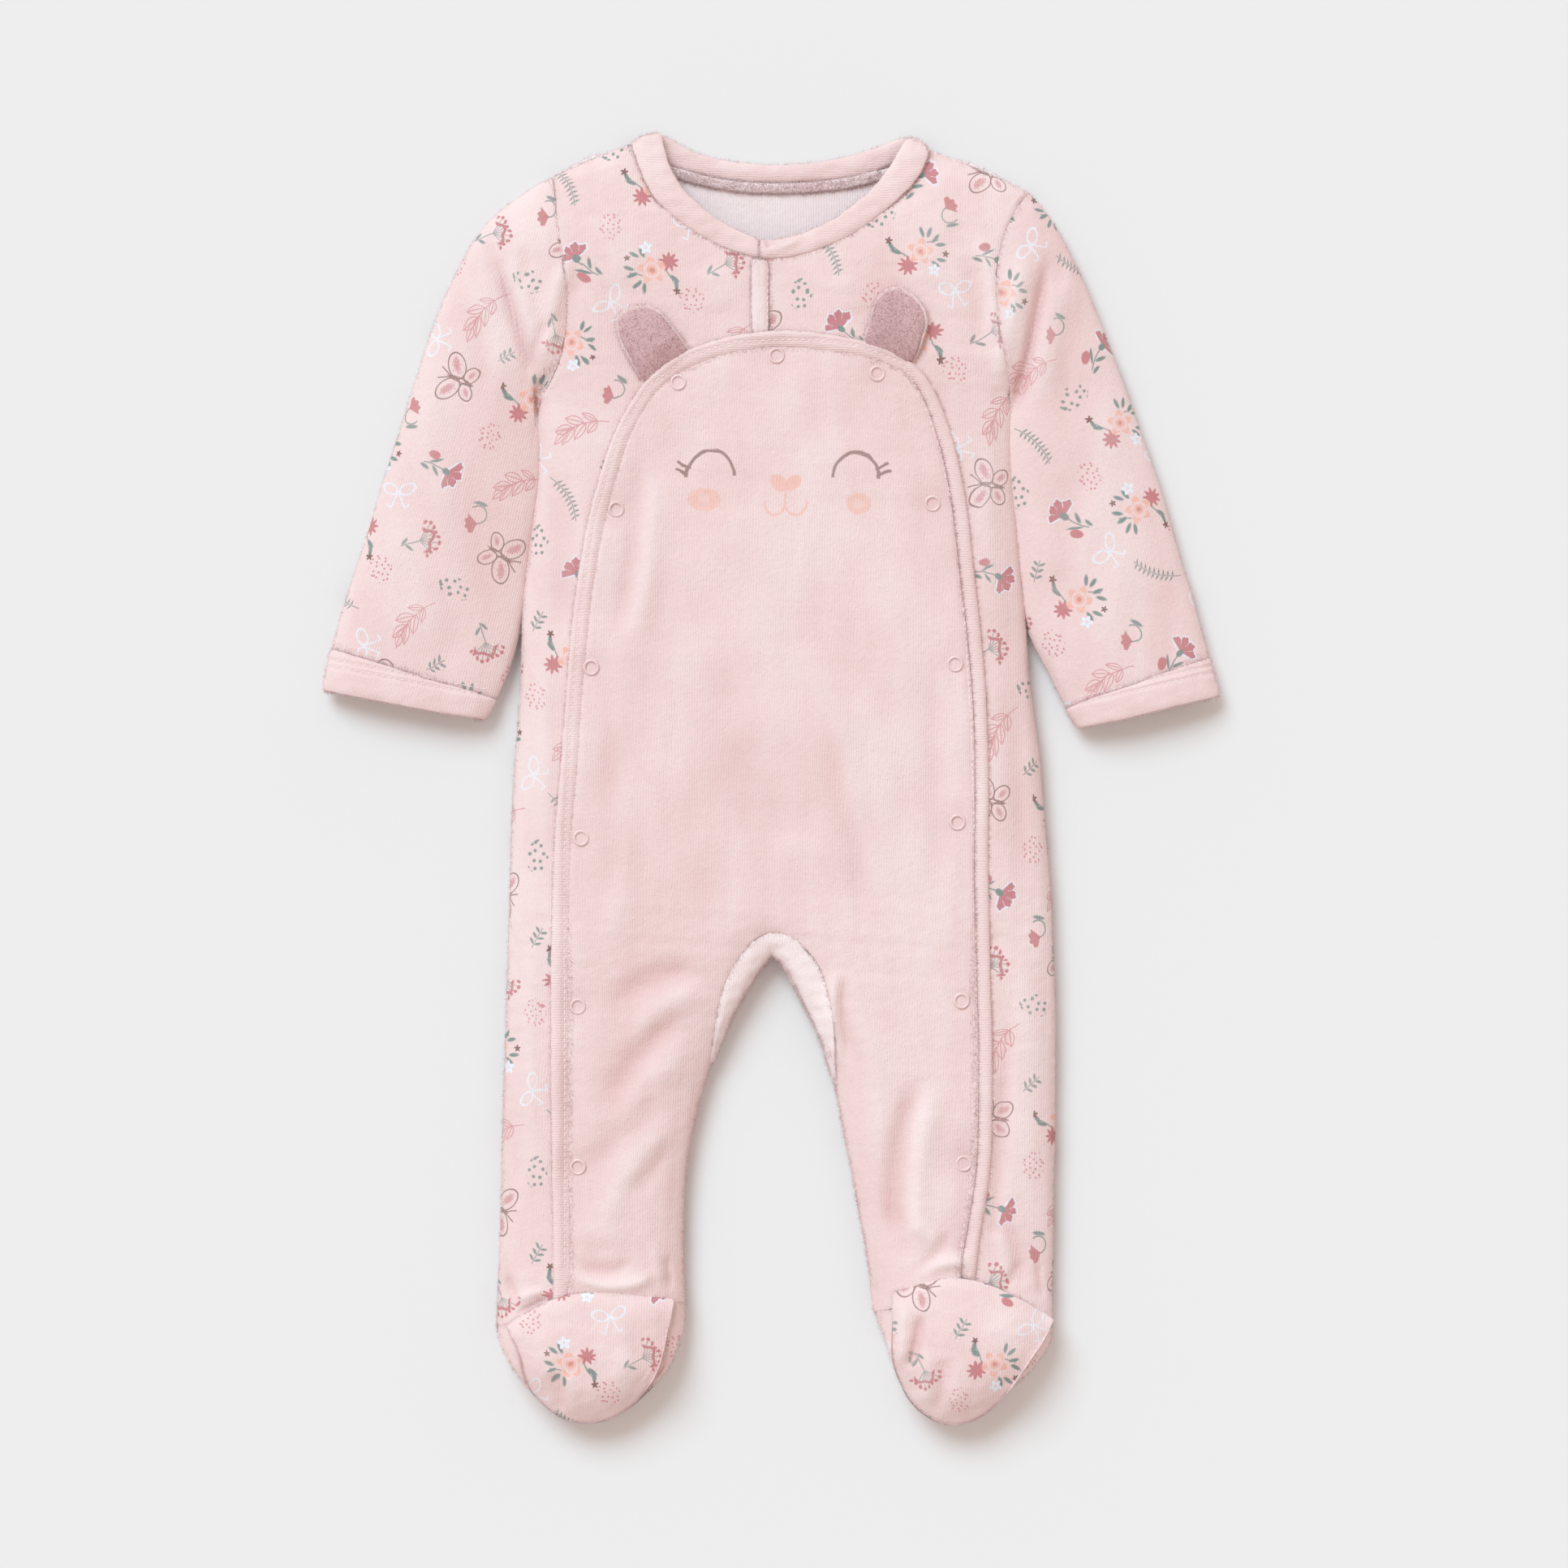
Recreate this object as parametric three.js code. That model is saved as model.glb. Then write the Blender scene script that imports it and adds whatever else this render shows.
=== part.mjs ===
// A footed baby sleepsuit of cotton velour, laid flat and face up, with a buttoned bib front.
// Millimetres. +X is the right of the suit as seen from the front, +Y runs to the neck, +Z is up.
// The origin is on the surface that it lies on, at the middle of the suit's width and length.
import * as THREE from "three";

// Cloth
const CLOTH = 1.5; // thickness of the velour
const SEAM = 0.3; // space between two pieces at a seam, or between two layers
const LAYER = CLOTH + SEAM; // how far a piece that lies on another is moved out
const BINDING_WIDTH = 7.2; // rolled edge of the bib
const PLACKET_WIDTH = 7; // strip at the centre front
const NECKBAND_WIDTH = 9;
const TAPE_WIDTH = 4.5; // tape over the back neck seam, inside
const SNAP_RADIUS = 3.7; // open ring of a press fastener
const SNAP_HOLE = 2.3;
const SNAP_HEIGHT = 0.9;
const EDGE_STEP = 4; // spacing of the points along an outline

// A short table: the names of its columns and its rows.
function table(names, rows) {
  const columns = names.split(" ");
  return rows.map((row) => Object.fromEntries(columns.map((name, i) => [name, row[i]])));
}

// Body and legs: the two side edges, from the armpits down to the ankles.
const SIDES = table("y left right", [
  [167, -103.8, 106.8],
  [150, -101.8, 105.0],
  [136, -101.5, 105.3],
  [120, -103.2, 106.5],
  [105, -105.8, 107.8],
  [85, -108.0, 109.6],
  [62, -110.2, 112.3],
  [46, -111.0, 114.6],
  [20, -112.5, 118.3],
  [0, -114.2, 120.0],
  [-25, -115.7, 122.0],
  [-55, -116.2, 124.3],
  [-80, -116.8, 125.5],
  [-105, -117.6, 125.9],
  [-130, -118.5, 126.4],
  [-160, -119.5, 125.8],
  [-195, -120.2, 125.5],
  [-215, -121.3, 125.0],
  [-243, -121.5, 124.6],
]);

// The gap between the legs: the inner edge of each leg, from the crotch down.
const LEG_GAP = table("y left right", [
  [-79, 0.5, 0.5],
  [-83, -2.8, 4.0],
  [-90, -7.5, 8.2],
  [-100, -13.5, 13.5],
  [-109, -18.0, 18.6],
  [-118, -22.3, 22.4],
  [-130, -27.4, 26.5],
  [-145, -32.0, 29.8],
  [-160, -34.8, 32.5],
  [-175, -37.6, 35.5],
  [-195, -38.8, 39.0],
  [-215, -38.6, 43.0],
  [-237, -38.2, 46.4],
]);

// The lower edge of the bib cloth round the crotch gusset.
const BIB_NOTCH = table("y left right", [
  [-67.5, 0.5, 0.5],
  [-69, -4.0, 5.5],
  [-71.5, -8.0, 10.5],
  [-76, -12.2, 16.5],
  [-82, -16.2, 21.3],
  [-90, -20.2, 24.8],
  [-100, -22.8, 27.0],
  [-110, -23.8, 28.0],
  [-120, -24.8, 28.4],
]);
const NOTCH_END = { left: -123, right: -137 };

// Crotch gusset: its seam with the bib and its fold at the gap between the legs.
const GUSSET = table("seamX seamY foldX foldY", [
  [-24.0, -118.5, -22.2, -118],
  [-23.4, -110, -18.4, -109.8],
  [-22.2, -99, -13.3, -99.6],
  [-19.0, -88, -7.9, -90.6],
  [-11.9, -76, -2.8, -83],
  [0.5, -67.9, 0.5, -79.0],
  [11.2, -72.2, 4.0, -83],
  [20.7, -82, 8.4, -90.4],
  [25.0, -92, 13.3, -99.6],
  [27.5, -106, 18.9, -109.6],
  [28.2, -119, 22.8, -119],
  [28.3, -134, 27.3, -133.5],
]);

// Shoulders, from the top of the neckband out to the tip.
const SHOULDER_LEFT = table("x y", [
  [-48, 287],
  [-55, 286],
  [-62.5, 283],
  [-82.5, 276],
  [-97, 266.5],
]);
const SHOULDER_RIGHT = table("x y", [
  [60, 286],
  [65, 284],
  [71, 281],
  [92, 272.8],
  [114.5, 259.5],
]);

// Armholes, from the shoulder tip down to the armpit.
const ARMHOLE_LEFT = table("x y", [
  [-97, 266.5],
  [-93.5, 240],
  [-89.5, 214],
  [-91, 190],
  [-96, 176],
  [-103.8, 167],
]);
const ARMHOLE_RIGHT = table("x y", [
  [114.5, 259.5],
  [104.5, 246],
  [99.5, 225],
  [99.5, 208],
  [102.5, 188],
  [106.8, 167],
]);

// Sleeves: the upper edge from the shoulder tip, and the underarm edge, both down to the cuff's end.
const SLEEVE_LEFT_UPPER = table("x y", [
  [-97, 266.5],
  [-111, 258.8],
  [-128.5, 246],
  [-138, 230],
  [-145.5, 213],
  [-155, 186.5],
  [-164, 157.5],
  [-173, 128.5],
  [-182, 100],
  [-188.5, 78.5],
  [-195, 56.5],
  [-198.4, 39],
]);
const SLEEVE_LEFT_UNDER = table("x y", [
  [-104.0, 167.2],
  [-103.6, 150],
  [-103.6, 136],
  [-105.2, 120],
  [-107.8, 105],
  [-110.0, 85],
  [-112.3, 64],
  [-114.6, 50],
  [-118.5, 41],
  [-122.5, 34],
  [-126.5, 25],
]);
const SLEEVE_RIGHT_UPPER = table("x y", [
  [114.5, 259.5],
  [124.5, 248.5],
  [132, 236],
  [138, 222.5],
  [145, 208],
  [155, 179],
  [165.5, 150.5],
  [175, 121.5],
  [182.5, 94],
  [188, 76],
  [193.5, 56],
  [198.5, 36],
]);
const SLEEVE_RIGHT_UNDER = table("x y", [
  [107.0, 167.2],
  [106.9, 150],
  [107.3, 136],
  [108.6, 120],
  [110.0, 105],
  [111.8, 85],
  [114.6, 64],
  [119, 54],
  [124.5, 45],
  [129, 35.5],
  [133, 28],
  [137, 21.5],
]);

// Feet: the outline of the sole from the outer ankle round the toe to the inner ankle.
// wrap is how far the sole turns over the edge onto the top of the foot.
const FOOT_LEFT = table("x y wrap", [
  [-121.5, -232, 0],
  [-121.5, -243.6, 12],
  [-120, -251, 12],
  [-116.5, -260, 11],
  [-111, -268, 6],
  [-104.5, -275, 0],
  [-97, -281.8, 0],
  [-90, -285.8, 0],
  [-81, -287, 0],
  [-72, -285.2, 0],
  [-63.5, -280.6, 0],
  [-56, -274.2, 0],
  [-48.8, -267.8, 6],
  [-43, -260.5, 9],
  [-40, -252, 10],
  [-38.6, -243, 10],
  [-38.2, -233.5, 9],
  [-38.2, -232, 0],
]);
const FOOT_RIGHT = table("x y wrap", [
  [124.8, -232, 0],
  [124.8, -243.6, 12],
  [124.3, -250, 12],
  [121, -257, 12],
  [115, -264, 10],
  [107.5, -270, 6],
  [102, -276, 0],
  [95.5, -282.6, 0],
  [87, -287, 0],
  [77.5, -287.4, 0],
  [69, -284, 0],
  [61.5, -277.5, 0],
  [57, -269.5, 0],
  [53.8, -261, 5],
  [50.8, -253, 8],
  [48, -244, 9],
  [46.4, -237.4, 9],
  [45.8, -232, 0],
]);

// Top of each foot: a padded flap whose ankle edge stands over the leg. lift is the height of its edge
// over the cloth below.
const UPPER_LEFT = table("x y lift", [
  [-115.3, -242.6, 3.9],
  [-106, -236.5, 3.9],
  [-95, -230.4, 4.6],
  [-82, -227.8, 3.9],
  [-68, -228.2, 3.9],
  [-55, -230.2, 3.9],
  [-44.2, -231.3, 3.9],
  [-46.6, -243.5, 2.6],
  [-48.8, -254, 2.6],
  [-51.6, -263.5, 2.4],
  [-57, -274.0, 0],
  [-64, -280.4, 0],
  [-72, -284.6, 0],
  [-81, -286.6, 0],
  [-90, -285.4, 0],
  [-97, -281.4, 0],
  [-103.6, -275.3, 0],
  [-107.6, -267.5, 2.4],
  [-109, -259, 2.6],
  [-111.2, -251, 2.6],
]);
const UPPER_RIGHT = table("x y lift", [
  [122.6, -240.6, 3.9],
  [112, -232.6, 3.9],
  [100, -226.4, 3.9],
  [90, -222.2, 4.6],
  [78, -221.4, 3.9],
  [66, -224.2, 3.9],
  [54.6, -228.6, 3.9],
  [54.8, -239, 2.6],
  [54.6, -250, 2.6],
  [55, -258, 2.4],
  [57.6, -268.8, 0],
  [62, -277.0, 0],
  [69.3, -283.3, 0],
  [77.5, -286.9, 0],
  [86.5, -286.6, 0],
  [95, -282.2, 0],
  [101.2, -276.0, 0],
  [104.6, -269.4, 2.4],
  [112, -258.4, 2.6],
  [119, -249.6, 2.6],
]);

// The lower end of the leg fronts, under the edge of the foot flaps.
const ANKLE_LEFT = table("x y", [
  [-121.5, -243.2],
  [-113, -242.6],
  [-106, -238.4],
  [-95, -233.5],
  [-82, -231.5],
  [-68.5, -231.5],
  [-55, -232.4],
  [-38, -233.1],
]);
const ANKLE_RIGHT = table("x y", [
  [45.8, -236.9],
  [52, -235.6],
  [60, -232.2],
  [66, -228],
  [81, -225],
  [92, -226],
  [108, -234],
  [124.8, -243.1],
]);

// Neck: the seam of the neckband and the fold at its top, front and back, from left to right.
const NECK_FRONT = table("seamX seamY foldX foldY", [
  [-62.0, 281.8, -48.6, 287.3],
  [-58.5, 271.0, -47.2, 277.5],
  [-53.0, 259.0, -42.5, 266.0],
  [-45.0, 249.6, -35.5, 257.0],
  [-33.0, 241.2, -26.5, 249.4],
  [-21.0, 234.8, -16.5, 242.6],
  [-8.8, 230.6, -8.4, 238.6],
  [2.0, 229.8, 1.5, 237.7],
  [17.0, 232.4, 13.5, 240.4],
  [32.5, 238.4, 27.0, 246.4],
  [46.0, 247.4, 38.5, 254.8],
  [57.0, 256.6, 47.5, 264.0],
  [66.0, 266.6, 54.5, 274.0],
  [70.4, 279.0, 60.2, 285.8],
]);
const NECK_BACK = table("seamX seamY foldX foldY", [
  [-60.5, 281.6, -48.2, 286.6],
  [-53.5, 275.9, -40.0, 281.4],
  [-36.0, 269.4, -27.5, 276.2],
  [-17.0, 265.2, -13.0, 273.2],
  [1.0, 263.8, 1.0, 272.4],
  [18.0, 264.4, 15.5, 273.0],
  [37.0, 267.0, 31.5, 275.6],
  [55.0, 273.4, 46.5, 280.4],
  [69.0, 280.0, 59.0, 285.0],
]);
const CENTRE_FRONT = -1.2;
const MIDDLE = 0.5; // where the two halves of the back and of the bib meet
const NECK_GAP = 2.2; // the back stops this far short of its neck seam, under the tape

// Bib: the outer edge of its binding, from the left ankle over the arch to the right ankle.
const BIB_EDGE = table("x y", [
  [-96, -229],
  [-96.5, -195],
  [-97, -150],
  [-97, -85],
  [-96.3, -35],
  [-93.2, 0],
  [-91.2, 29],
  [-88.0, 68],
  [-84.4, 95],
  [-79.4, 122],
  [-72.8, 143],
  [-67, 157.5],
  [-57, 174],
  [-49, 182],
  [-40, 187.6],
  [-25, 193.4],
  [-9, 196.9],
  [5, 198],
  [20, 196.8],
  [38, 193.8],
  [54, 189.3],
  [67, 179.5],
  [76, 163.5],
  [81.5, 146.5],
  [86, 124.5],
  [89.5, 94],
  [94.5, 50],
  [96.5, 7.5],
  [96.5, -56],
  [98.3, -120],
  [98, -165],
  [95.6, -188],
  [92.6, -206],
  [90.2, -221.4],
]);
const ARCH_LEFT = 12; // row of BIB_EDGE where the arch starts, and where it ends
const ARCH_RIGHT = 21;

// Ears: the outline of each, from its base at the bib round the tip and back.
const EAR_LEFT = table("x y", [
  [-58.2, 176.0],
  [-63.0, 185.5],
  [-67.6, 194.6],
  [-69.0, 201.0],
  [-66.6, 205.8],
  [-60.5, 208.3],
  [-53.6, 208.6],
  [-48.6, 205.6],
  [-43.6, 198.6],
  [-38.2, 190.4],
  [-48.6, 184.6],
]);
const EAR_RIGHT = table("x y", [
  [41.8, 194.6],
  [44.2, 204.0],
  [46.2, 211.6],
  [50.6, 216.0],
  [56.4, 217.0],
  [63.2, 213.2],
  [68.2, 206.4],
  [69.0, 200.6],
  [66.4, 192.0],
  [63.6, 185.6],
  [53.4, 191.2],
]);

// Press fasteners on the bib.
const SNAPS = table("x y", [
  [2.5, 186.5],
  [-41.0, 174.6],
  [47, 178.5],
  [-68.5, 118.5],
  [71.5, 121],
  [-79.5, 48.5],
  [81.5, 50],
  [-84, -27],
  [82.5, -20],
  [-85.4, -101.5],
  [84.3, -99],
  [-85.4, -172.5],
  [85.3, -171],
]);

// How thick the laid suit is. top is its whole height, edge the height of its side fold, roundTop and
// roundUnder how far in from the edge the top and the underside are curved.
const BODY_HEIGHTS = table("y top edge roundTop roundUnder", [
  [287, 9, 5, 14, 8],
  [266, 12, 6, 20, 10],
  [240, 15, 7, 26, 12],
  [200, 16.5, 7.5, 30, 13],
  [100, 17, 7.5, 30, 13],
  [0, 17, 7.5, 30, 13],
  [-60, 17, 7.5, 30, 13],
  [-130, 17, 7.5, 30, 13],
  [-200, 17, 7.5, 30, 13],
  [-228, 18, 8, 30, 13],
  [-246, 20.5, 9.5, 29, 13],
  [-262, 21.5, 10, 28, 14],
  [-288, 19, 9, 26, 14],
]);
const SLEEVE_HEIGHTS = table("along top edge roundTop roundUnder", [
  [0, 15.5, 7.3, 28, 12],
  [0.35, 13.5, 6.3, 26, 11],
  [0.8, 13, 6.2, 25, 11],
  [1, 14, 6.8, 24, 11],
]);

// The largest folds of the top cloth: a line from one point to another, its half width and its height.
const FOLDS = table("x1 y1 x2 y2 half height", [
  [-60, 150, -69, 52, 8, -1.3],
  [-48, 128, -58, 30, 9, 0.8],
  [20, 40, 36, -74, 9, 1.1],
  [38, 10, 48, -70, 7, -0.9],
  [-52, -116, -78, -168, 7, 1.4],
  [-66, -112, -86, -150, 6, -1.0],
  [-40, -170, -72, -198, 6, 1.3],
  [-90, -219, -58, -221, 4, 1.3],
  [30, -92, 33, -128, 5, 1.3],
  [66, -150, 58, -216, 7, -1.4],
  [80, -140, 76, -210, 7, 1.0],
  [-122, 226, -109, 176, 6, -2.2],
  [-131, 220, -119, 168, 6, 1.0],
  [125, 235, 111, 168, 6, -2.2],
  [133, 225, 122, 165, 6, 1.0],
  [-152, 120, -140, 66, 8, 0.8],
  [158, 110, 150, 62, 8, 0.8],
]);

const lerp = (a, b, t) => a + (b - a) * t;
const between = (p, q, t) => ({ x: lerp(p.x, q.x, t), y: lerp(p.y, q.y, t) });
const clamp01 = (t) => Math.min(1, Math.max(0, t));
const ease = (t) => clamp01(t) ** 2 * (3 - 2 * clamp01(t));

// The value of a column of a table at a place in another column, on a smooth curve through the rows.
function columnAt(rows, key, at, column) {
  const sorted = rows[0][key] < rows[rows.length - 1][key] ? rows : [...rows].reverse();
  const last = sorted.length - 1;
  if (at <= sorted[0][key]) return sorted[0][column];
  if (at >= sorted[last][key]) return sorted[last][column];
  const i = sorted.findIndex((row) => row[key] > at) - 1;
  const slope = (a, b) => (sorted[b][column] - sorted[a][column]) / (sorted[b][key] - sorted[a][key]);
  const tangent = (k) => slope(Math.max(0, k - 1), Math.min(last, k + 1));
  const span = sorted[i + 1][key] - sorted[i][key];
  const t = (at - sorted[i][key]) / span;
  const start = sorted[i][column];
  const end = sorted[i + 1][column];
  const bend = tangent(i) * (1 - t) - tangent(i + 1) * t - slope(i, i + 1) * (1 - 2 * t);
  return lerp(start, end, t) + bend * span * t * (1 - t);
}

// A smooth curve through the x and y of a table's rows.
function curveThrough(rows) {
  return new THREE.SplineCurve(rows.map((row) => new THREE.Vector2(row.x, row.y)));
}

function evenPoints(rows) {
  const curve = curveThrough(rows);
  return curve.getSpacedPoints(Math.ceil(curve.getLength() / EDGE_STEP));
}

function sidePoints(rows, column, from, to) {
  const count = Math.ceil(Math.abs(to - from) / EDGE_STEP);
  const steps = Array.from({ length: count + 1 }, (_, i) => lerp(from, to, i / count));
  return steps.map((y) => new THREE.Vector2(columnAt(rows, "y", y, column), y));
}

// The closed edges of the suit, each run with the cloth on its left.
const CROTCH = LEG_GAP[0].y;
const ARMPIT = SIDES[0].y;
const ANKLE = FOOT_LEFT[0].y;
const EDGES = [
  evenPoints(SHOULDER_LEFT),
  evenPoints(SLEEVE_LEFT_UPPER),
  evenPoints([...SLEEVE_LEFT_UNDER].reverse()),
  sidePoints(SIDES, "left", ARMPIT, ANKLE),
  evenPoints(FOOT_LEFT),
  sidePoints(LEG_GAP, "left", ANKLE, CROTCH),
  sidePoints(LEG_GAP, "right", CROTCH, ANKLE),
  evenPoints([...FOOT_RIGHT].reverse()),
  sidePoints(SIDES, "right", ANKLE, ARMPIT),
  evenPoints(SLEEVE_RIGHT_UNDER),
  evenPoints([...SLEEVE_RIGHT_UPPER].reverse()),
  evenPoints([...SHOULDER_RIGHT].reverse()),
];

const SEGMENTS = EDGES.flatMap((points) => {
  const inward = (i) => {
    const a = points[Math.max(0, i - 1)];
    const b = points[Math.min(points.length - 1, i + 1)];
    const along = b.clone().sub(a).normalize();
    return new THREE.Vector2(-along.y, along.x);
  };
  const last = points.length - 2;
  return points.slice(1).map((b, i) => {
    return { a: points[i], b, inA: inward(i), inB: inward(i + 1), first: i === 0, last: i === last };
  });
});

// How far a place is inside the nearest closed edge, and the way that leads further in.
function insideEdge(x, y) {
  let best = { distance: Infinity };
  for (const { a, b, inA, inB, first, last } of SEGMENTS) {
    const dx = b.x - a.x;
    const dy = b.y - a.y;
    const t = clamp01(((x - a.x) * dx + (y - a.y) * dy) / (dx * dx + dy * dy));
    const px = x - a.x - dx * t;
    const py = y - a.y - dy * t;
    const distance = Math.hypot(px, py);
    if (distance < best.distance) {
      const inward = inA.clone().lerp(inB, t).normalize();
      const atEnd = (first && t === 0) || (last && t === 1);
      best = { distance, px, py, inward, atEnd };
    }
  }
  const { distance, px, py, inward, atEnd } = best;
  if (!atEnd && px * inward.x + py * inward.y <= 0) return { distance: 0, inward };
  if (distance < 1) return { distance, inward };
  return { distance, inward: new THREE.Vector2(px, py).normalize() };
}

// Height that the folds add to the top cloth.
function foldAt(x, y) {
  let height = 0;
  for (const fold of FOLDS) {
    const dx = fold.x2 - fold.x1;
    const dy = fold.y2 - fold.y1;
    const along = ((x - fold.x1) * dx + (y - fold.y1) * dy) / (dx * dx + dy * dy);
    const length = Math.hypot(dx, dy);
    const across = ((x - fold.x1) * dy - (y - fold.y1) * dx) / length;
    const fade = ease(Math.min(along, 1 - along) * 3 + 0.3) * (along > -0.1 && along < 1.1 ? 1 : 0);
    height += fold.height * fade * Math.exp(-((across / fold.half) ** 2));
  }
  return height;
}

function heightsAt(rows, key, at) {
  const value = (column) => columnAt(rows, key, at, column);
  return {
    top: value("top"),
    edge: value("edge"),
    roundTop: value("roundTop"),
    roundUnder: value("roundUnder"),
  };
}

// Heights at a place on the body, or on a sleeve where along runs from 0 at the armhole to 1 at the wrist.
function heights(x, y, along = 0) {
  const body = heightsAt(BODY_HEIGHTS, "y", y);
  if (!along) return body;
  const sleeve = heightsAt(SLEEVE_HEIGHTS, "along", along);
  const t = ease(along * 4);
  return Object.fromEntries(Object.keys(body).map((name) => [name, lerp(body[name], sleeve[name], t)]));
}

// A point on the outer face of the suit's top, and the direction that leads out of the cloth.
function topAt(x, y, along = 0, seam = SEAM / 2) {
  const { top, edge, roundTop } = heights(x, y, along);
  const { distance, inward } = insideEdge(x, y);
  const turn = Math.acos(1 - clamp01(distance / roundTop));
  const rise = top - edge;
  const z = edge + seam + (rise - seam) * Math.sin(turn) + foldAt(x, y) * Math.sin(turn) ** 2;
  const out = new THREE.Vector3(inward.x, inward.y, 0).multiplyScalar(-rise * Math.cos(turn));
  out.z = roundTop * Math.sin(turn);
  return { point: new THREE.Vector3(x, y, z), out: out.normalize() };
}

// The same for the underside, which is flat where it rests.
function underAt(x, y, along = 0, seam = SEAM / 2) {
  const { edge, roundUnder } = heights(x, y, along);
  const { distance, inward } = insideEdge(x, y);
  const turn = Math.acos(1 - clamp01(distance / roundUnder));
  const z = (edge - seam) * (1 - Math.sin(turn));
  const out = new THREE.Vector3(inward.x, inward.y, 0).multiplyScalar(-edge * Math.cos(turn));
  out.z = -roundUnder * Math.sin(turn);
  return { point: new THREE.Vector3(x, y, z), out: out.normalize() };
}

const movedOut = ({ point, out }, lift) => point.clone().addScaledVector(out, lift);

// Rows of plan places joined into four-sided faces.
function rowsPlan(rows) {
  const places = rows.flat();
  const width = rows[0].length;
  const faces = [];
  for (let r = 0; r + 1 < rows.length; r += 1) {
    for (let c = 0; c + 1 < width; c += 1) {
      const i = r * width + c;
      faces.push([i, i + 1, i + width + 1, i + width]);
    }
  }
  return { places, faces };
}

// Two plans as one, with the places that they share made one.
function joinPlans(first, second) {
  const places = [];
  const found = new Map();
  const indexOf = (place) => {
    const name = `${place.x.toFixed(3)} ${place.y.toFixed(3)} ${place.side ?? ""}`;
    if (!found.has(name)) found.set(name, places.push(place) - 1);
    return found.get(name);
  };
  const faces = [first, second].flatMap((plan) => {
    const renamed = plan.places.map(indexOf);
    return plan.faces.map((face) => face.map((i) => renamed[i]));
  });
  return { places, faces };
}

// A closed solid from an outer skin and an inner one that share their faces, with rims at open edges.
function wallBetween(faces, outer, inner) {
  const count = outer.length;
  const used = new Set();
  const triangles = [];
  for (const face of faces) {
    const corners = face.filter((v, i) => v !== face[(i + 1) % face.length]);
    if (corners.length < 3) continue;
    corners.forEach((v, i) => used.add(`${v} ${corners[(i + 1) % corners.length]}`));
    for (let i = 1; i + 1 < corners.length; i += 1) {
      triangles.push([corners[0], corners[i], corners[i + 1]]);
      triangles.push([corners[0] + count, corners[i + 1] + count, corners[i] + count]);
    }
  }
  for (const name of used) {
    const [a, b] = name.split(" ").map(Number);
    if (used.has(`${b} ${a}`)) continue;
    triangles.push([b, a, a + count], [b, a + count, b + count]);
  }
  return solidFrom([...outer, ...inner], triangles);
}

// A geometry from points and triangles, turned so that its faces point out.
function solidFrom(points, triangles) {
  const volume = triangles.reduce((sum, [a, b, c]) => {
    return sum + points[a].dot(new THREE.Vector3().crossVectors(points[b], points[c]));
  }, 0);
  const turned = volume < 0 ? triangles.map(([a, b, c]) => [a, c, b]) : triangles;
  const geometry = new THREE.BufferGeometry().setFromPoints(points);
  geometry.setIndex(turned.flat());
  geometry.computeVertexNormals();
  return geometry;
}

// A cloth panel laid on the suit: each place of the plan is moved out by its lift.
function panel(plan, surface, lift = () => 0, thickness = CLOTH) {
  const bases = plan.places.map((place) => surface(place.x, place.y, place.along));
  const lifts = plan.places.map((place) => lift(place));
  const outer = bases.map((base, i) => movedOut(base, lifts[i]));
  const inner = bases.map((base, i) => movedOut(base, lifts[i] - thickness));
  return wallBetween(plan.faces, outer, inner);
}

// A band along two edges of a run: its section is a closed loop of steps across and lifts.
function band(stations, section, surface) {
  const points = stations.flatMap((station) =>
    section.map(({ across, lift }) => {
      const place = between(station.from, station.to, across);
      return movedOut(surface(place.x, place.y), lift);
    }),
  );
  const size = section.length;
  const triangles = [];
  for (let s = 0; s + 1 < stations.length; s += 1) {
    for (let k = 0; k < size; k += 1) {
      const a = s * size + k;
      const b = s * size + ((k + 1) % size);
      triangles.push([a, b, b + size], [a, b + size, a + size]);
    }
  }
  const end = (stations.length - 1) * size;
  for (let k = 1; k + 1 < size; k += 1) {
    triangles.push([0, k + 1, k], [end, end + k, end + k + 1]);
  }
  return solidFrom(points, triangles);
}

// The points of a run at its own rows, moved to the left of the way it goes.
function offsetRun(points, distance) {
  return points.map((point, i) => {
    const before = points[Math.max(0, i - 1)];
    const after = points[Math.min(points.length - 1, i + 1)];
    const along = Math.hypot(after.x - before.x, after.y - before.y);
    return {
      x: point.x - ((after.y - before.y) / along) * distance,
      y: point.y + ((after.x - before.x) / along) * distance,
    };
  });
}

const suit = new THREE.Group();

function addPiece(name, geometry, cloth) {
  const mesh = new THREE.Mesh(geometry, new THREE.MeshStandardMaterial(cloth));
  mesh.name = name;
  suit.add(mesh);
  return mesh;
}

const PRINTED = { color: 0xf0cfcf, roughness: 0.9, metalness: 0 };
const PLAIN = { color: 0xf2d2d1, roughness: 0.9, metalness: 0 };
const TERRY = { color: 0xcfa8ac, roughness: 1, metalness: 0 };
const SNAP = { color: 0xf3d9d8, roughness: 0.35, metalness: 0 };

// Places across a panel from 0 to 1, closer together at the ends that are rounded.
const spread = (count, from = 0, to = 1) =>
  Array.from({ length: count + 1 }, (_, i) => {
    const t = lerp(from, to, i / count);
    return (1 - Math.cos(Math.PI * t)) / 2;
  });
const spreadFromEdge = (count) => spread(count, 0, 0.5).map((t) => 2 * t);

// The same for half the body at a height: it has one rounded end above the crotch and two below it.
const columnsAt = (y, count) => {
  const legs = ease((-45 - y) / 55);
  const whole = spread(count);
  return spreadFromEdge(count).map((u, i) => lerp(u, whole[i], legs));
};

const sideAt = (y, column) => columnAt(SIDES, "y", y, column);
const gapAt = (y, column) => columnAt(LEG_GAP, "y", y, column);

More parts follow.
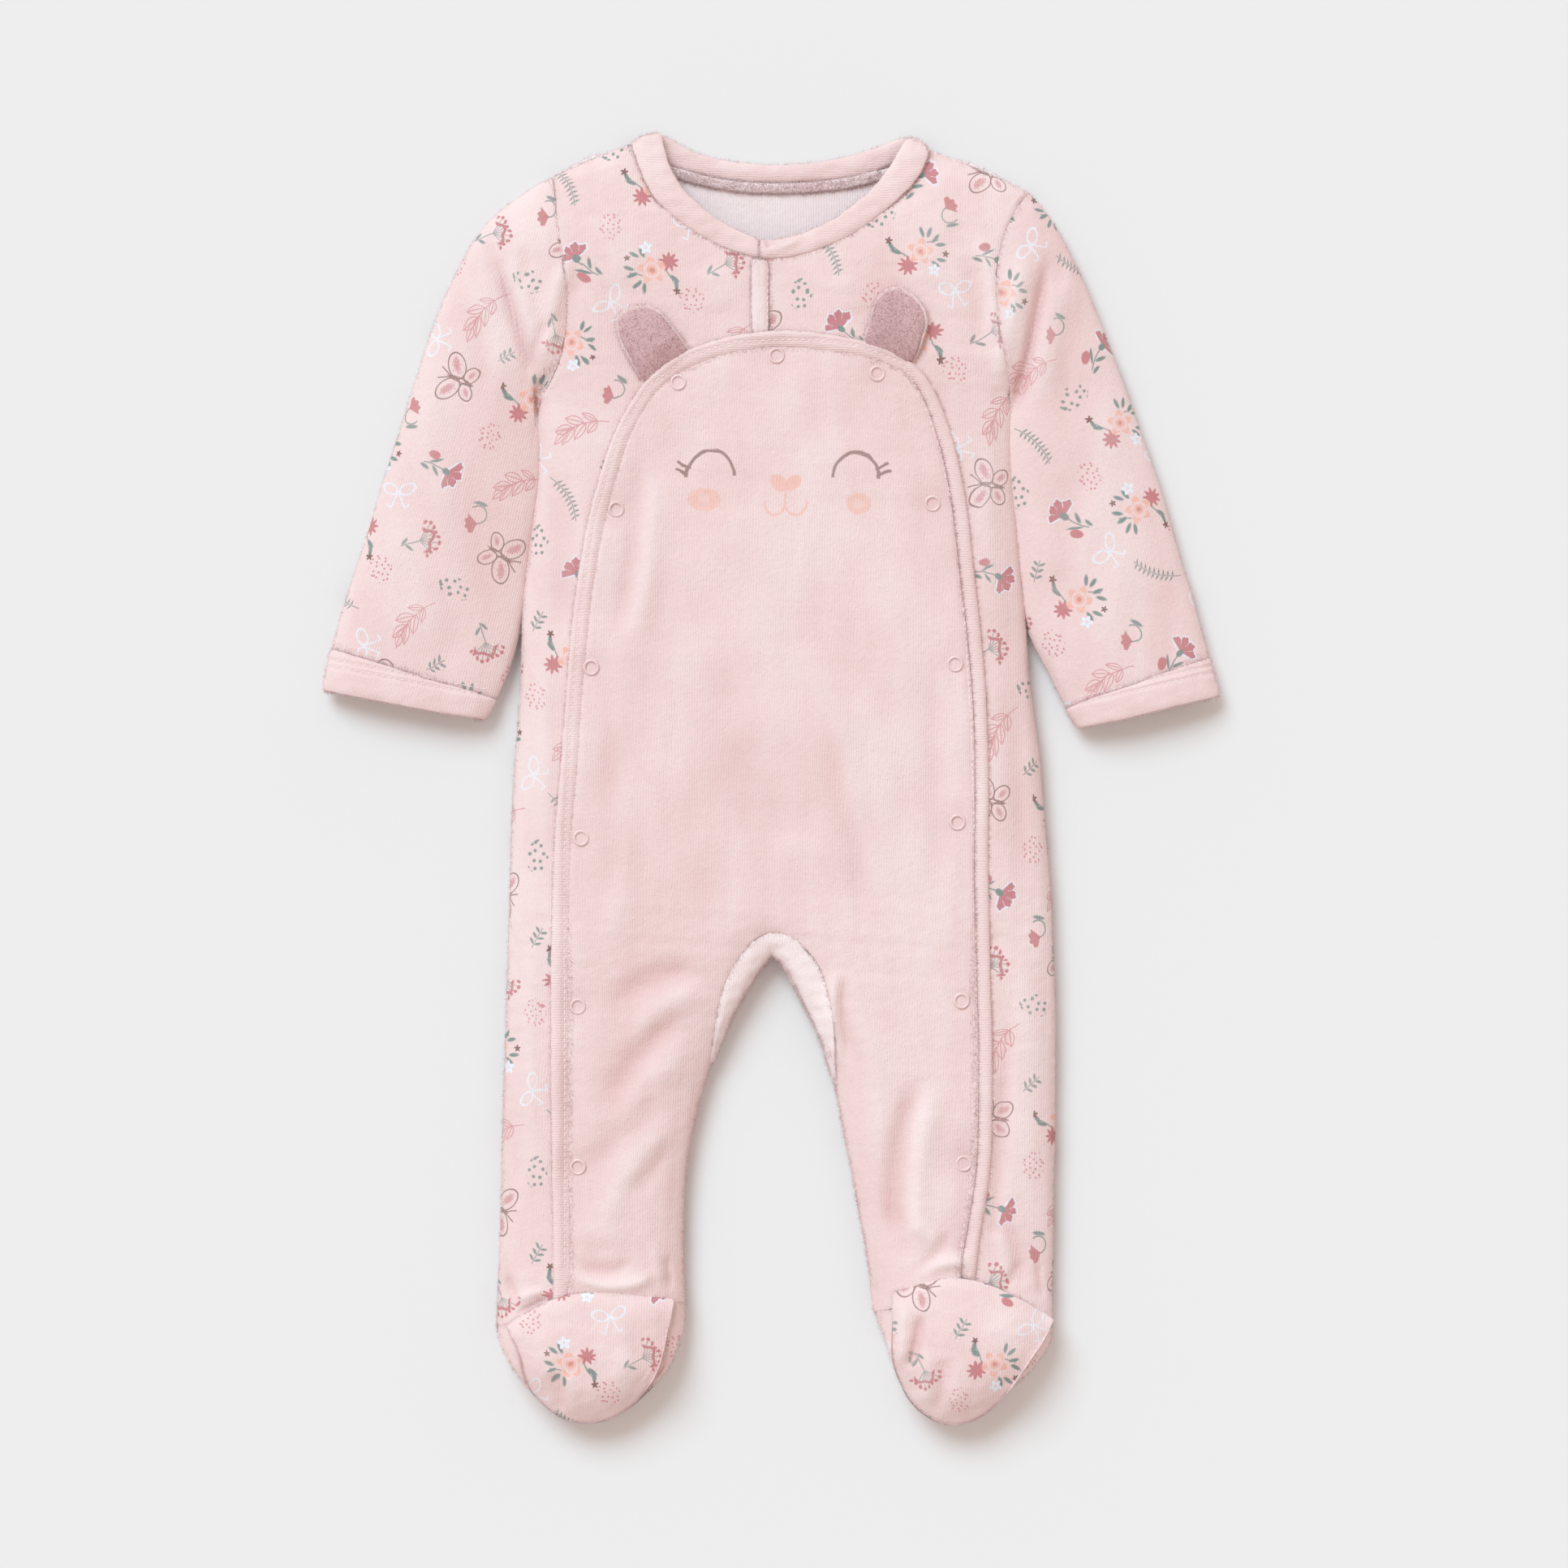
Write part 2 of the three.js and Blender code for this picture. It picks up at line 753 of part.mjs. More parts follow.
// Rows of the body below the armpits, closer at the crotch and the ankles.
const BODY_ROWS = [
  150, 136, 118, 98, 78, 58, 38, 16, -8, -32, -50, -62, -67.5, -70, -73.5, -79, -83, -88, -95, -103, -112,
  -122, -134, -148, -163, -178, -193, -208, -220, -227,
];

// A sleeve's place from 0 to 1 along it and from 0 at its upper edge to 1 at its underarm edge.
function sleevePlan(upperRows, underRows, armholeRows) {
  const upper = curveThrough(upperRows);
  const under = curveThrough(underRows);
  const armhole = curveThrough(armholeRows);
  return (along, across) => {
    const chord = between(upper.getPointAt(along), under.getPointAt(along), across);
    const chordAtTop = between(upper.getPointAt(0), under.getPointAt(0), across);
    const seam = armhole.getPointAt(across);
    const bow = (1 - along) ** (3 + 90 * across ** 4);
    return {
      x: chord.x + (seam.x - chordAtTop.x) * bow,
      y: chord.y + (seam.y - chordAtTop.y) * bow,
      along,
    };
  };
}

// A tube of cloth round a sleeve. Each ring has its place along the sleeve, its lift and its thickness.
function sleeveTube(place, rings, around) {
  const outer = [];
  const inner = [];
  for (const { along, lift, thickness } of rings) {
    for (let k = 0; k < around; k += 1) {
      const turn = (2 * Math.PI * k) / around;
      const { x, y } = place(along, (1 - Math.cos(turn)) / 2);
      const base = turn <= Math.PI ? topAt(x, y, along, 0) : underAt(x, y, along, 0);
      const rest = turn <= Math.PI ? 0 : lift;
      outer.push(movedOut(base, lift - rest));
      inner.push(movedOut(base, lift - rest - thickness));
    }
  }
  const faces = [];
  for (let r = 0; r + 1 < rings.length; r += 1) {
    for (let k = 0; k < around; k += 1) {
      const a = r * around + k;
      const b = r * around + ((k + 1) % around);
      faces.push([a, b, b + around, a + around]);
    }
  }
  return wallBetween(faces, outer, inner);
}

// A sleeve has this many places round it, half of them on its top, and the panels that it is sewn to
// have their rows at the same places of the armhole.
const SLEEVE_AROUND = 20;
const ARMHOLE_STATIONS = spread(SLEEVE_AROUND / 2);
const SLEEVE_START = 0.0025; // place along the sleeve where it is sewn to the armhole
const CUFF_START = 0.93; // and where the cuff is sewn to it

function addSleeve(side, upperRows, underRows, armholeRows) {
  const place = sleevePlan(upperRows, underRows, armholeRows);
  const length = curveThrough(upperRows).getLength();
  const sleeveEnd = CUFF_START - (2 * SEAM) / length;
  const stops = [SLEEVE_START, 0.07, 0.16, 0.27, 0.4, 0.54, 0.68, 0.81, sleeveEnd];
  const sleeveRings = stops.map((along) => ({ along, lift: 0, thickness: CLOTH }));
  addPiece(`sleeve_${side}`, sleeveTube(place, sleeveRings, SLEEVE_AROUND), PRINTED);
  const cuffRings = [
    { along: CUFF_START, lift: 0.2, thickness: 1.9 },
    { along: lerp(CUFF_START, 1, 0.15), lift: 1.0, thickness: 2.9 },
    { along: lerp(CUFF_START, 1, 0.55), lift: 1.0, thickness: 3.0 },
    { along: lerp(CUFF_START, 1, 0.9), lift: 0.9, thickness: 2.8 },
    { along: 1, lift: 0.1, thickness: 1.6 },
  ];
  addPiece(`cuff_${side}`, sleeveTube(place, cuffRings, SLEEVE_AROUND), PLAIN);
}

// The plans of a panel's two halves, joined down its middle.
function bothHalves(rowsOf) {
  const right = rowsOf("right").map((row) => [...row].reverse());
  return joinPlans(rowsPlan(rowsOf("left")), rowsPlan(right));
}

// The back's middle, level with the shoulder tips and with the armpits.
const BACK_MIDDLE_TOP = 262;
const BACK_MIDDLE_LOW = 170;
const BACK_SHOULDER_LEFT = table("x y", [
  [-96.6, 265.9],
  [-82.5, 275.3],
  [-63, 281.9],
]);
const BACK_SHOULDER_RIGHT = table("x y", [
  [71, 280.2],
  [92, 272.1],
  [114.1, 258.9],
]);

// Back: one panel from the neck to both ankles, with its fold up the sides.
function addBack() {
  const neckSeam = NECK_BACK.map((row) => ({ x: row.seamX, y: row.seamY - NECK_GAP }));
  const topRun = [...BACK_SHOULDER_LEFT, ...neckSeam, ...BACK_SHOULDER_RIGHT];
  const armholeLeft = curveThrough(ARMHOLE_LEFT);
  const armholeRight = curveThrough(ARMHOLE_RIGHT);
  const halfColumns = spreadFromEdge(6);
  const rowsOf = (side) => {
    const armhole = side === "left" ? armholeLeft : armholeRight;
    const armRows = ARMHOLE_STATIONS.map((t) => {
      const outer = armhole.getPointAt(t);
      return halfColumns.map((u) => {
        const x = lerp(outer.x, MIDDLE, u);
        const chord = lerp(outer.y, lerp(BACK_MIDDLE_TOP, BACK_MIDDLE_LOW, t), u);
        const top = columnAt(topRun, "x", x, "y");
        const flat = lerp(armhole.getPointAt(0).y, BACK_MIDDLE_TOP, u);
        return { x, y: chord + (top - flat) * (1 - t) ** 2 };
      });
    });
    const bodyRows = [...BODY_ROWS, ANKLE + SEAM].map((y) => {
      const inner = y > CROTCH ? MIDDLE : gapAt(y, side);
      return columnsAt(y, 6).map((u) => ({ x: lerp(sideAt(y, side), inner, u), y }));
    });
    return [...armRows, ...bodyRows];
  };
  addPiece("back", panel(bothHalves(rowsOf), underAt), PRINTED);
}

// Side fronts: each from the shoulder to the ankle, its inner edge at the centre of the neck and then
// some way under the bib.
const UNDER_BIB = table("y left right", [
  [196, -1.8, -0.9],
  [180, -8, 10],
  [160, -27, 34],
  [136, -43, 50],
  [110, -52, 58],
  [78, -57, 62],
  [16, -62, 66],
  [-62, -66, 66],
  [-178, -66, 66],
  [-232, -66, 62],
]);

// Places round the front of the neck, from a shoulder to the lap at the centre: the band's seam and fold.
const NECK_LAP = table("seamX seamY foldX foldY", [[-5.2, 230.1, -5.2, 238.1]]);
const NECK_STATIONS = 8;

function neckStations(side) {
  const lap = { ...NECK_LAP[0] };
  if (side === "right") {
    lap.seamX += SEAM;
    lap.foldX += SEAM;
  }
  const rows = side === "left" ? NECK_FRONT.slice(0, 6) : [...NECK_FRONT].reverse().slice(0, 7);
  return runStations([...rows, lap], NECK_STATIONS);
}

function runStations(rows, count) {
  const seams = curveThrough(rows.map((row) => ({ x: row.seamX, y: row.seamY })));
  const folds = curveThrough(rows.map((row) => ({ x: row.foldX, y: row.foldY })));
  return Array.from({ length: count + 1 }, (_, i) => ({
    from: seams.getPoint(i / count),
    to: folds.getPoint(i / count),
  }));
}

const UNDER_BIB_DROP = 1.4; // the side fronts lie this much lower inside the bib's binding
const CENTRE_END = 190; // the side fronts meet down to here, under the bib's binding

// How far a place is inside the bib's edge.
function insideBib(x, y) {
  const edge = bibRun(0, BIB_EDGE.length - 1, 80);
  let inside = false;
  let nearest = Infinity;
  edge.forEach((a, i) => {
    const b = edge[(i + 1) % edge.length];
    if (a.y > y !== b.y > y && x < lerp(a.x, b.x, (y - a.y) / (b.y - a.y))) inside = !inside;
    if (i + 1 < edge.length) nearest = Math.min(nearest, Math.hypot(a.x - x, a.y - y));
  });
  return inside ? nearest : 0;
}

function addSideFront(side) {
  const left = side === "left";
  const armhole = curveThrough(left ? ARMHOLE_LEFT : ARMHOLE_RIGHT);
  const neck = neckStations(side).map(({ from }) => ({ x: from.x, y: from.y - SEAM }));
  const centre = left ? CENTRE_FRONT - SEAM : CENTRE_FRONT;
  if (!left) neck.push(between(neck.pop(), neck[neck.length - 1], 0.4));
  const columns = spreadFromEdge(6);
  const across = (outer, inner) => columns.map((u) => between(outer, inner, u));
  const innerPlaces = [...neck, { x: centre, y: 213 }, { x: centre, y: CENTRE_END }];
  const rows = innerPlaces.map((inner, i) => across(armhole.getPointAt(ARMHOLE_STATIONS[i]), inner));
  const ankleRows = left ? ANKLE_LEFT : ANKLE_RIGHT;
  for (const y of [...BODY_ROWS, -232]) {
    const low = ease((-200 - y) / 32);
    const outer = { x: sideAt(y, side), y };
    const inner = { x: columnAt(UNDER_BIB, "y", y + 20, side), y: y + 14 * ease((y - 60) / 80) };
    rows.push(
      across(outer, inner).map(({ x, y: level }) => ({
        x,
        y: lerp(level, level + columnAt(ankleRows, "x", x, "y") + 232, low),
      })),
    );
  }
  const lift = ({ x, y }) => -UNDER_BIB_DROP * ease((insideBib(x, y) - BINDING_WIDTH) / 6);
  addPiece(`front_${side}`, panel(rowsPlan(rows), topAt, lift), PRINTED);
}

// The bib's edge run, with places spaced along it, and its inner side.
const bibCurve = curveThrough(BIB_EDGE);
const bibRun = (from, to, count) =>
  Array.from({ length: count + 1 }, (_, i) => {
    return bibCurve.getPoint(lerp(from, to, i / count) / (BIB_EDGE.length - 1));
  });

const BIB_RISE = 16; // the bib comes up over the side fronts within this distance of a closed edge
const BIB_CHEST = 120; // the bib's rows are level from here down

function addBib() {
  const inset = -(BINDING_WIDTH + SEAM);
  const leftRun = offsetRun(bibRun(0, ARCH_LEFT, 40), inset);
  const archRun = offsetRun(bibRun(ARCH_LEFT, ARCH_RIGHT, 40), inset);
  const rightRun = offsetRun(bibRun(ARCH_RIGHT, BIB_EDGE.length - 1, 40), inset);
  const runs = { left: leftRun, right: rightRun };
  const corner = { left: archRun[0], right: archRun[40] };
  const chordAt = (x) => {
    const across = (x - corner.left.x) / (corner.right.x - corner.left.x);
    return lerp(corner.left.y, corner.right.y, across);
  };
  const innerEdge = (y, side) => {
    if (y > BIB_NOTCH[0].y) return MIDDLE;
    if (y < NOTCH_END[side]) return gapAt(y, side);
    return columnAt(BIB_NOTCH, "y", y, side);
  };
  const archDrops = [0, 5, 12, 22];
  const rowsOf = (side) => {
    const columns = spreadFromEdge(6);
    const archRows = archDrops.map((drop) => {
      const blend = (1 - drop / 40) ** 2;
      const outerY = corner[side].y - drop * 0.8;
      const outer = { x: columnAt(runs[side], "y", outerY, "x"), y: outerY };
      const middleY = lerp(chordAt(MIDDLE), BIB_CHEST, drop / 40);
      return columns.map((u) => {
        const x = lerp(outer.x, MIDDLE, 1 - Math.cos((Math.PI / 2) * u));
        const level = lerp(outer.y, middleY, (x - outer.x) / (MIDDLE - outer.x));
        const rise = columnAt(archRun, "x", x, "y") - chordAt(x);
        return { x, y: level + rise * blend };
      });
    });
    const bodyRows = BODY_ROWS.filter((y) => y < 140).concat(-232).map((y) => {
      const low = ease((-200 - y) / 32);
      const inner = innerEdge(y, side);
      const outer = columnAt(runs[side], "y", y, "x");
      const legs = ease((-50 - y) / 50);
      return columns.map((u, i) => {
        const even = i / (columns.length - 1);
        const x = lerp(outer, inner, lerp(u, Math.sin((Math.PI / 2) * even ** 0.8), legs));
        const ankleRows = side === "left" ? ANKLE_LEFT : ANKLE_RIGHT;
        return { x, y: y + (columnAt(ankleRows, "x", x, "y") + 232) * low };
      });
    });
    return [...archRows, ...bodyRows];
  };
  const lift = (place) => LAYER * ease(insideEdge(place.x, place.y).distance / BIB_RISE);
  addPiece("bib", panel(bothHalves(rowsOf), topAt, lift), PLAIN);
}

// The rolled binding sewn round the bib's edge.
function addBinding() {
  const outer = bibRun(0, BIB_EDGE.length - 1, 66);
  const inner = offsetRun(outer, -BINDING_WIDTH);
  const stations = outer.map((from, i) => ({ from, to: inner[i] }));
  const section = table("across lift", [
    [0.1, 0.5],
    [0.0, 1.5],
    [0.07, 2.9],
    [0.32, 3.7],
    [0.66, 3.3],
    [0.94, 2.4],
    [1.0, 1.9],
    [1.0, 0.5],
  ]);
  addPiece("bib_binding", band(stations, section, topAt), PLAIN);
}

// The gusset that lets the crotch open, between the bib and the gap of the legs.
function addGusset() {
  const seams = curveThrough(GUSSET.map((row) => ({ x: row.seamX, y: row.seamY })));
  const folds = curveThrough(GUSSET.map((row) => ({ x: row.foldX, y: row.foldY })));
  const count = 16;
  const rows = Array.from({ length: count + 1 }, (_, i) => {
    const from = seams.getPoint(i / count);
    const to = folds.getPoint(i / count);
    return [0.04, 0.35, 0.65, 0.88, 1].map((t) => between(from, to, t));
  });
  addPiece("crotch_gusset", panel(rowsPlan(rows), topAt), PLAIN);
}

// Neckband: a folded band round the neck, in three runs that meet at the shoulders and the placket.
function addNeckband() {
  const frontSection = table("across lift", [
    [0.0, -1.5],
    [0.0, 0.2],
    [0.14, 1.0],
    [0.5, 1.3],
    [0.84, 0.9],
    [1.0, -0.4],
    [0.9, -1.7],
    [0.5, -1.9],
  ]);
  const backSection = table("across lift", [
    [0.0, -0.05],
    [0.0, -1.7],
    [0.15, -2.7],
    [0.5, -3.0],
    [0.85, -2.6],
    [1.0, -1.3],
    [0.9, -0.05],
    [0.5, 0.0],
  ]);
  const mirrored = [...neckStations("right")].reverse();
  addPiece("neckband_left", band(neckStations("left"), frontSection, topAt), PLAIN);
  addPiece("neckband_right", band(mirrored, frontSection, topAt), PLAIN);
  const backStations = runStations(NECK_BACK, 16);
  addPiece("neckband_back", band(backStations, backSection, underAt), PLAIN);
  const tape = backStations.slice(3, -3).map(({ from, to }) => ({
    from: between(from, to, -TAPE_WIDTH / NECKBAND_WIDTH),
    to: between(from, to, -0.04),
  }));
  const tapeSection = table("across lift", [
    [0, -LAYER],
    [0.05, -LAYER - 0.9],
    [0.9, -LAYER - 1.2],
    [1, -LAYER],
  ]);
  addPiece("neck_tape", band(tape, tapeSection, underAt), PLAIN);
}

// The strip that finishes the centre front, over the edge of the other side.
function addPlacket() {
  const stations = [228.9, 219, 209, 199.6].map((y) => ({
    from: { x: CENTRE_FRONT - PLACKET_WIDTH, y },
    to: { x: CENTRE_FRONT, y },
  }));
  const section = table("across lift", [
    [0.0, SEAM],
    [0.0, 1.3],
    [0.15, 1.9],
    [0.5, 2.0],
    [0.88, 1.8],
    [1.0, 1.2],
    [1.0, SEAM],
  ]);
  addPiece("placket", band(stations, section, topAt), PLAIN);
}

// A plan of rings round a centre, from the outline inwards.
function ringPlan(outline, centre, fractions) {
  const count = outline.length;
  const places = fractions.flatMap((fraction) =>
    outline.map((place, i) => ({ ...place, ...between(centre, place, fraction), fraction, station: i })),
  );
  places.push({ ...outline[0], ...centre, fraction: 0, station: -1 });
  const faces = [];
  for (let r = 0; r < fractions.length; r += 1) {
    for (let k = 0; k < count; k += 1) {
      const next = (k + 1) % count;
      const a = r * count + k;
      const b = r * count + next;
      if (r + 1 < fractions.length) faces.push([a, b, b + count, a + count]);
      else faces.push([a, b, places.length - 1]);
    }
  }
  return { places, faces };
}

// A foot: the sole that turns up round the edge, and the flap over it.
function addFoot(side, soleRows, upperRows, centre) {
  const straight = [0.25, 0.5, 0.75].map((t) => between(soleRows[soleRows.length - 1], soleRows[0], t));
  const outline = [...soleRows, ...straight.map((place) => ({ ...place, wrap: 0 }))];
  const plan = ringPlan(outline, centre, [1, 0.93, 0.82, 0.64]);
  const outer = [];
  const inner = [];
  for (const place of plan.places) {
    const base = underAt(place.x, place.y);
    outer.push(movedOut(base, 0));
    inner.push(movedOut(base, -CLOTH));
  }
  const faces = [...plan.faces];
  const turned = soleRows.map(({ x, y, wrap }, i) => {
    if (!wrap) return [i, i, i];
    const { inward } = insideEdge(x, y);
    return [0.3, 0.65, 1].map((t) => {
      const base = topAt(x + inward.x * wrap * t, y + inward.y * wrap * t);
      outer.push(movedOut(base, 0));
      inner.push(movedOut(base, -CLOTH));
      return outer.length - 1;
    });
  });
  for (let i = 0; i + 1 < soleRows.length; i += 1) {
    const here = [i, ...turned[i]];
    const next = [i + 1, ...turned[i + 1]];
    const open = soleRows[i].wrap && soleRows[i + 1].wrap;
    const toToe = Boolean(soleRows[i].wrap) !== Boolean(soleRows[i + 1].wrap);
    const toLeg = toToe && (i === 0 || i === soleRows.length - 2);
    if (!open && (!toToe || toLeg)) continue;
    for (let k = 0; k < 3; k += 1) faces.push([here[k + 1], next[k + 1], next[k], here[k]]);
  }
  addPiece(`foot_sole_${side}`, wallBetween(faces, outer, inner), PRINTED);

  const upper = ringPlan(upperRows, centre, [1, 0.95, 0.85, 0.68, 0.42]);
  const crown = 4.4;
  const lift = (place) => {
    const edgeLift = upperRows[Math.max(0, place.station)].lift;
    return lerp(crown, edgeLift, ease((place.fraction - 0.35) / 0.65));
  };
  addPiece(`foot_upper_${side}`, panel(upper, topAt, lift), PRINTED);
}

// An ear: a velour back that shows as a rim, and a terry front on it.
function addEar(side, rows) {
  const count = 22;
  const curve = new THREE.SplineCurve([...rows, rows[0]].map((row) => new THREE.Vector2(row.x, row.y)));
  const outline = curve.getSpacedPoints(count).slice(0, count).map(({ x, y }) => ({ x, y }));
  const centre = {
    x: outline.reduce((sum, p) => sum + p.x, 0) / count,
    y: outline.reduce((sum, p) => sum + p.y, 0) / count,
  };
  const backPlan = ringPlan(outline, centre, [1, 0.6]);
  addPiece(`ear_back_${side}`, panel(backPlan, topAt, () => LAYER, CLOTH), PLAIN);
  const frontPlan = ringPlan(outline.map((p) => ({ ...between(centre, p, 0.94) })), centre, [1, 0.85, 0.5]);
  const rise = (place) => 2 * LAYER + 1.3 * (1 - place.fraction ** 3);
  addPiece(`ear_front_${side}`, panel(frontPlan, topAt, rise, CLOTH), TERRY);
}

// A press fastener: an open ring pressed through the bib.
function addSnap(number, { x, y }) {
  const profile = table("radius height", [
    [SNAP_HOLE, 0],
    [SNAP_RADIUS - 0.2, 0],
    [SNAP_RADIUS, 0.35],
    [SNAP_RADIUS - 0.6, SNAP_HEIGHT],
    [SNAP_HOLE + 0.3, SNAP_HEIGHT],
    [SNAP_HOLE, 0],
  ]);
  const points = profile.map((row) => new THREE.Vector2(row.radius, row.height));
  const ring = new THREE.LatheGeometry(points, 12);
  const mesh = addPiece(`snap_${String(number).padStart(2, "0")}`, ring, SNAP);
  const base = topAt(x, y);
  mesh.quaternion.setFromUnitVectors(new THREE.Vector3(0, 1, 0), base.out);
  mesh.position.copy(movedOut(base, LAYER + 0.6));
}

addBack();
addSideFront("left");
addSideFront("right");
addBib();
addBinding();
addGusset();
addSleeve("left", SLEEVE_LEFT_UPPER, SLEEVE_LEFT_UNDER, ARMHOLE_LEFT);
addSleeve("right", SLEEVE_RIGHT_UPPER, SLEEVE_RIGHT_UNDER, ARMHOLE_RIGHT);
addNeckband();
addPlacket();
addFoot("left", FOOT_LEFT, UPPER_LEFT, { x: -80, y: -255 });
addFoot("right", FOOT_RIGHT, UPPER_RIGHT, { x: 86, y: -254 });
addEar("left", EAR_LEFT);
addEar("right", EAR_RIGHT);
SNAPS.forEach((place, i) => addSnap(i + 1, place));

export default suit;
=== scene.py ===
# A footed baby sleepsuit of cotton velour, laid flat and face up on a pale floor.
# Metres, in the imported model's frame: +X is to the right as seen from the front, +Y runs to the neck.
import math

import bmesh
import bpy
import numpy as np
from mathutils import Matrix, Vector
from mathutils.bvhtree import BVHTree


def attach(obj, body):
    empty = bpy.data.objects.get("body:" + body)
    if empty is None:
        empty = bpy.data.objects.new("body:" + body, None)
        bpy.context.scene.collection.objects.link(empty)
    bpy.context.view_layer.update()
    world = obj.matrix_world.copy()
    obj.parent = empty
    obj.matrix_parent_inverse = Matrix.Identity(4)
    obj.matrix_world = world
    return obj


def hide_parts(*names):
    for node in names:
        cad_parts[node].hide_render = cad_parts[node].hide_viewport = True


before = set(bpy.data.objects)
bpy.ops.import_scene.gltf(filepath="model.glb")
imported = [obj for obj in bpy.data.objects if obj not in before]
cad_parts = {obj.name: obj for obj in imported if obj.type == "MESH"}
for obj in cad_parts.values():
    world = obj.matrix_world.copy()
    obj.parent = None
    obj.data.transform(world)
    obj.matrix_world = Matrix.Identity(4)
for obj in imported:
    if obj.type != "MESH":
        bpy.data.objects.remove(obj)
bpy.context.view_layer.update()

scene = bpy.context.scene
MM = 0.001

# Camera
# It looks straight down from far enough that the height of the cloth doesn't change the outline.
VIEW_WIDTH = 0.6955
VIEW_CENTRE = (0.0058, -0.0031)
CAMERA_HEIGHT = 2.8
CLOTH_LEVEL = 0.010
SENSOR = 36.0

camera_data = bpy.data.cameras.new("camera")
camera_data.sensor_width = SENSOR
camera_data.lens = SENSOR * (CAMERA_HEIGHT - CLOTH_LEVEL) / VIEW_WIDTH
camera_data.clip_end = 20
camera = bpy.data.objects.new("camera", camera_data)
camera.location = (*VIEW_CENTRE, CAMERA_HEIGHT)
scene.collection.objects.link(camera)
scene.camera = camera

# Floor and studio
# A plain pale floor, a broad soft light from the upper left and an even fill from all round.
FLOOR_COLOUR = (0.86, 0.86, 0.86, 1)
FLOOR_SIZE = 6.0
KEY_FROM = (-0.5, 0.85, 1.0)
KEY_SPREAD = math.radians(34)
KEY_POWER = 1.95
KEY_COLOUR = (0.753, 0.963, 1.067)
FILL_COLOUR = (1.0, 0.86, 0.79, 1)
FILL_STRENGTH = 0.66


def new_material(name):
    """A new material with nodes, its tree and its shader."""
    material = bpy.data.materials.new(name)
    material.use_nodes = True
    return material, material.node_tree, material.node_tree.nodes["Principled BSDF"]


def set_inputs(node, values):
    for name, value in values.items():
        node.inputs[name].default_value = value


bpy.ops.mesh.primitive_plane_add(size=FLOOR_SIZE, location=(0, 0, -0.0002))
floor = bpy.context.object
floor.name = "floor"
floor_material, _, floor_shader = new_material("floor")
set_inputs(floor_shader, {"Base Color": FLOOR_COLOUR, "Roughness": 0.95, "Specular IOR Level": 0.1})
floor.data.materials.append(floor_material)

key_data = bpy.data.lights.new("key", "SUN")
key_data.angle = KEY_SPREAD
key_data.energy = KEY_POWER
key_data.color = KEY_COLOUR
key = bpy.data.objects.new("key", key_data)
key.rotation_euler = Vector(KEY_FROM).to_track_quat("Z", "Y").to_euler()
scene.collection.objects.link(key)

world = bpy.data.worlds.new("studio")
world.use_nodes = True
set_inputs(world.node_tree.nodes["Background"], {"Color": FILL_COLOUR, "Strength": FILL_STRENGTH})
scene.world = world
scene.view_settings.view_transform = "Standard"
scene.view_settings.look = "None"

# Velour cloth
# Cotton velour is a knit with a short brushed pile: fine ribs run down it, the pile leans in soft patches of
# lighter and darker pink, and its tips catch the light at the turned edges. Shade is painted into the hollows
# of its folds and highlight onto their ridges.
ROSE = (0.60, 0.20, 0.22)
PEACH = (0.95, 0.53, 0.44)
SAGE = (0.25, 0.32, 0.30)
UMBER = (0.27, 0.15, 0.13)
CHALK = (0.86, 0.91, 0.99)
BLUSH = (0.70, 0.29, 0.31)
CHEEK_MIDDLE = (0.93, 0.72, 0.68)
PINK_LIGHT = (0.945, 0.765, 0.76)
PINK_DARK = (0.87, 0.635, 0.62)
PILE_TIPS = (1.0, 0.94, 0.93)
PILE_ROOTS = (0.62, 0.42, 0.42)
PAINTED_SHADE_PINK = (0.76, 0.47, 0.465)  # painted shade: the deeper pink painted into the hollows of the folds
# Painted highlight on the ridges of the folds; also the tint of the velour's sheen.
HIGHLIGHT_AND_SHEEN_PINK = (1.0, 0.93, 0.92)
# The light and the dark patches of the other cloths.
INNER_PINKS = ((0.99, 0.885, 0.885), (0.975, 0.84, 0.845))
GUSSET_PINKS = ((0.995, 0.87, 0.87), (0.97, 0.80, 0.80))
TAPE_PINKS = ((0.98, 0.83, 0.83), (0.93, 0.73, 0.74))
PLACKET_PINKS = ((0.96, 0.81, 0.81), (0.91, 0.71, 0.70))
TERRY_MAUVES = ((0.80, 0.54, 0.545), (0.62, 0.385, 0.40))
RIB_PITCH = 1.15  # millimetres


class Field:
    """A number that varies over a material, with the arithmetic that its node tree does."""

    tree = None

    def __init__(self, socket):
        self.socket = socket

    @classmethod
    def maths(cls, operation, *values, clamp=False):
        node = cls.tree.nodes.new("ShaderNodeMath")
        node.operation = operation
        node.use_clamp = clamp
        for slot, value in zip(node.inputs, values):
            if isinstance(value, Field):
                cls.tree.links.new(value.socket, slot)
            else:
                slot.default_value = value
        return cls(node.outputs[0])

    def __add__(self, other):
        return Field.maths("ADD", self, other)

    __radd__ = __add__

    def __sub__(self, other):
        return Field.maths("SUBTRACT", self, other)

    def __rsub__(self, other):
        return Field.maths("SUBTRACT", other, self)

    def __mul__(self, other):
        return Field.maths("MULTIPLY", self, other)

    __rmul__ = __mul__

    def __truediv__(self, other):
        return Field.maths("DIVIDE", self, other)

    def __abs__(self):
        return Field.maths("ABSOLUTE", self)

    def least(self, other):
        return Field.maths("MINIMUM", self, other)

    def most(self, other):
        return Field.maths("MAXIMUM", self, other)

    def wrapped(self, size):
        """The remainder in steps of size, from minus half of it to half of it."""
        return Field.maths("FLOORED_MODULO", self + size / 2, size) - size / 2


def length(x, y):
    return Field.maths("SQRT", x * x + y * y)


def turned(x, y, degrees):
    c = math.cos(math.radians(degrees))
    s = math.sin(math.radians(degrees))
    return x * c + y * s, y * c - x * s


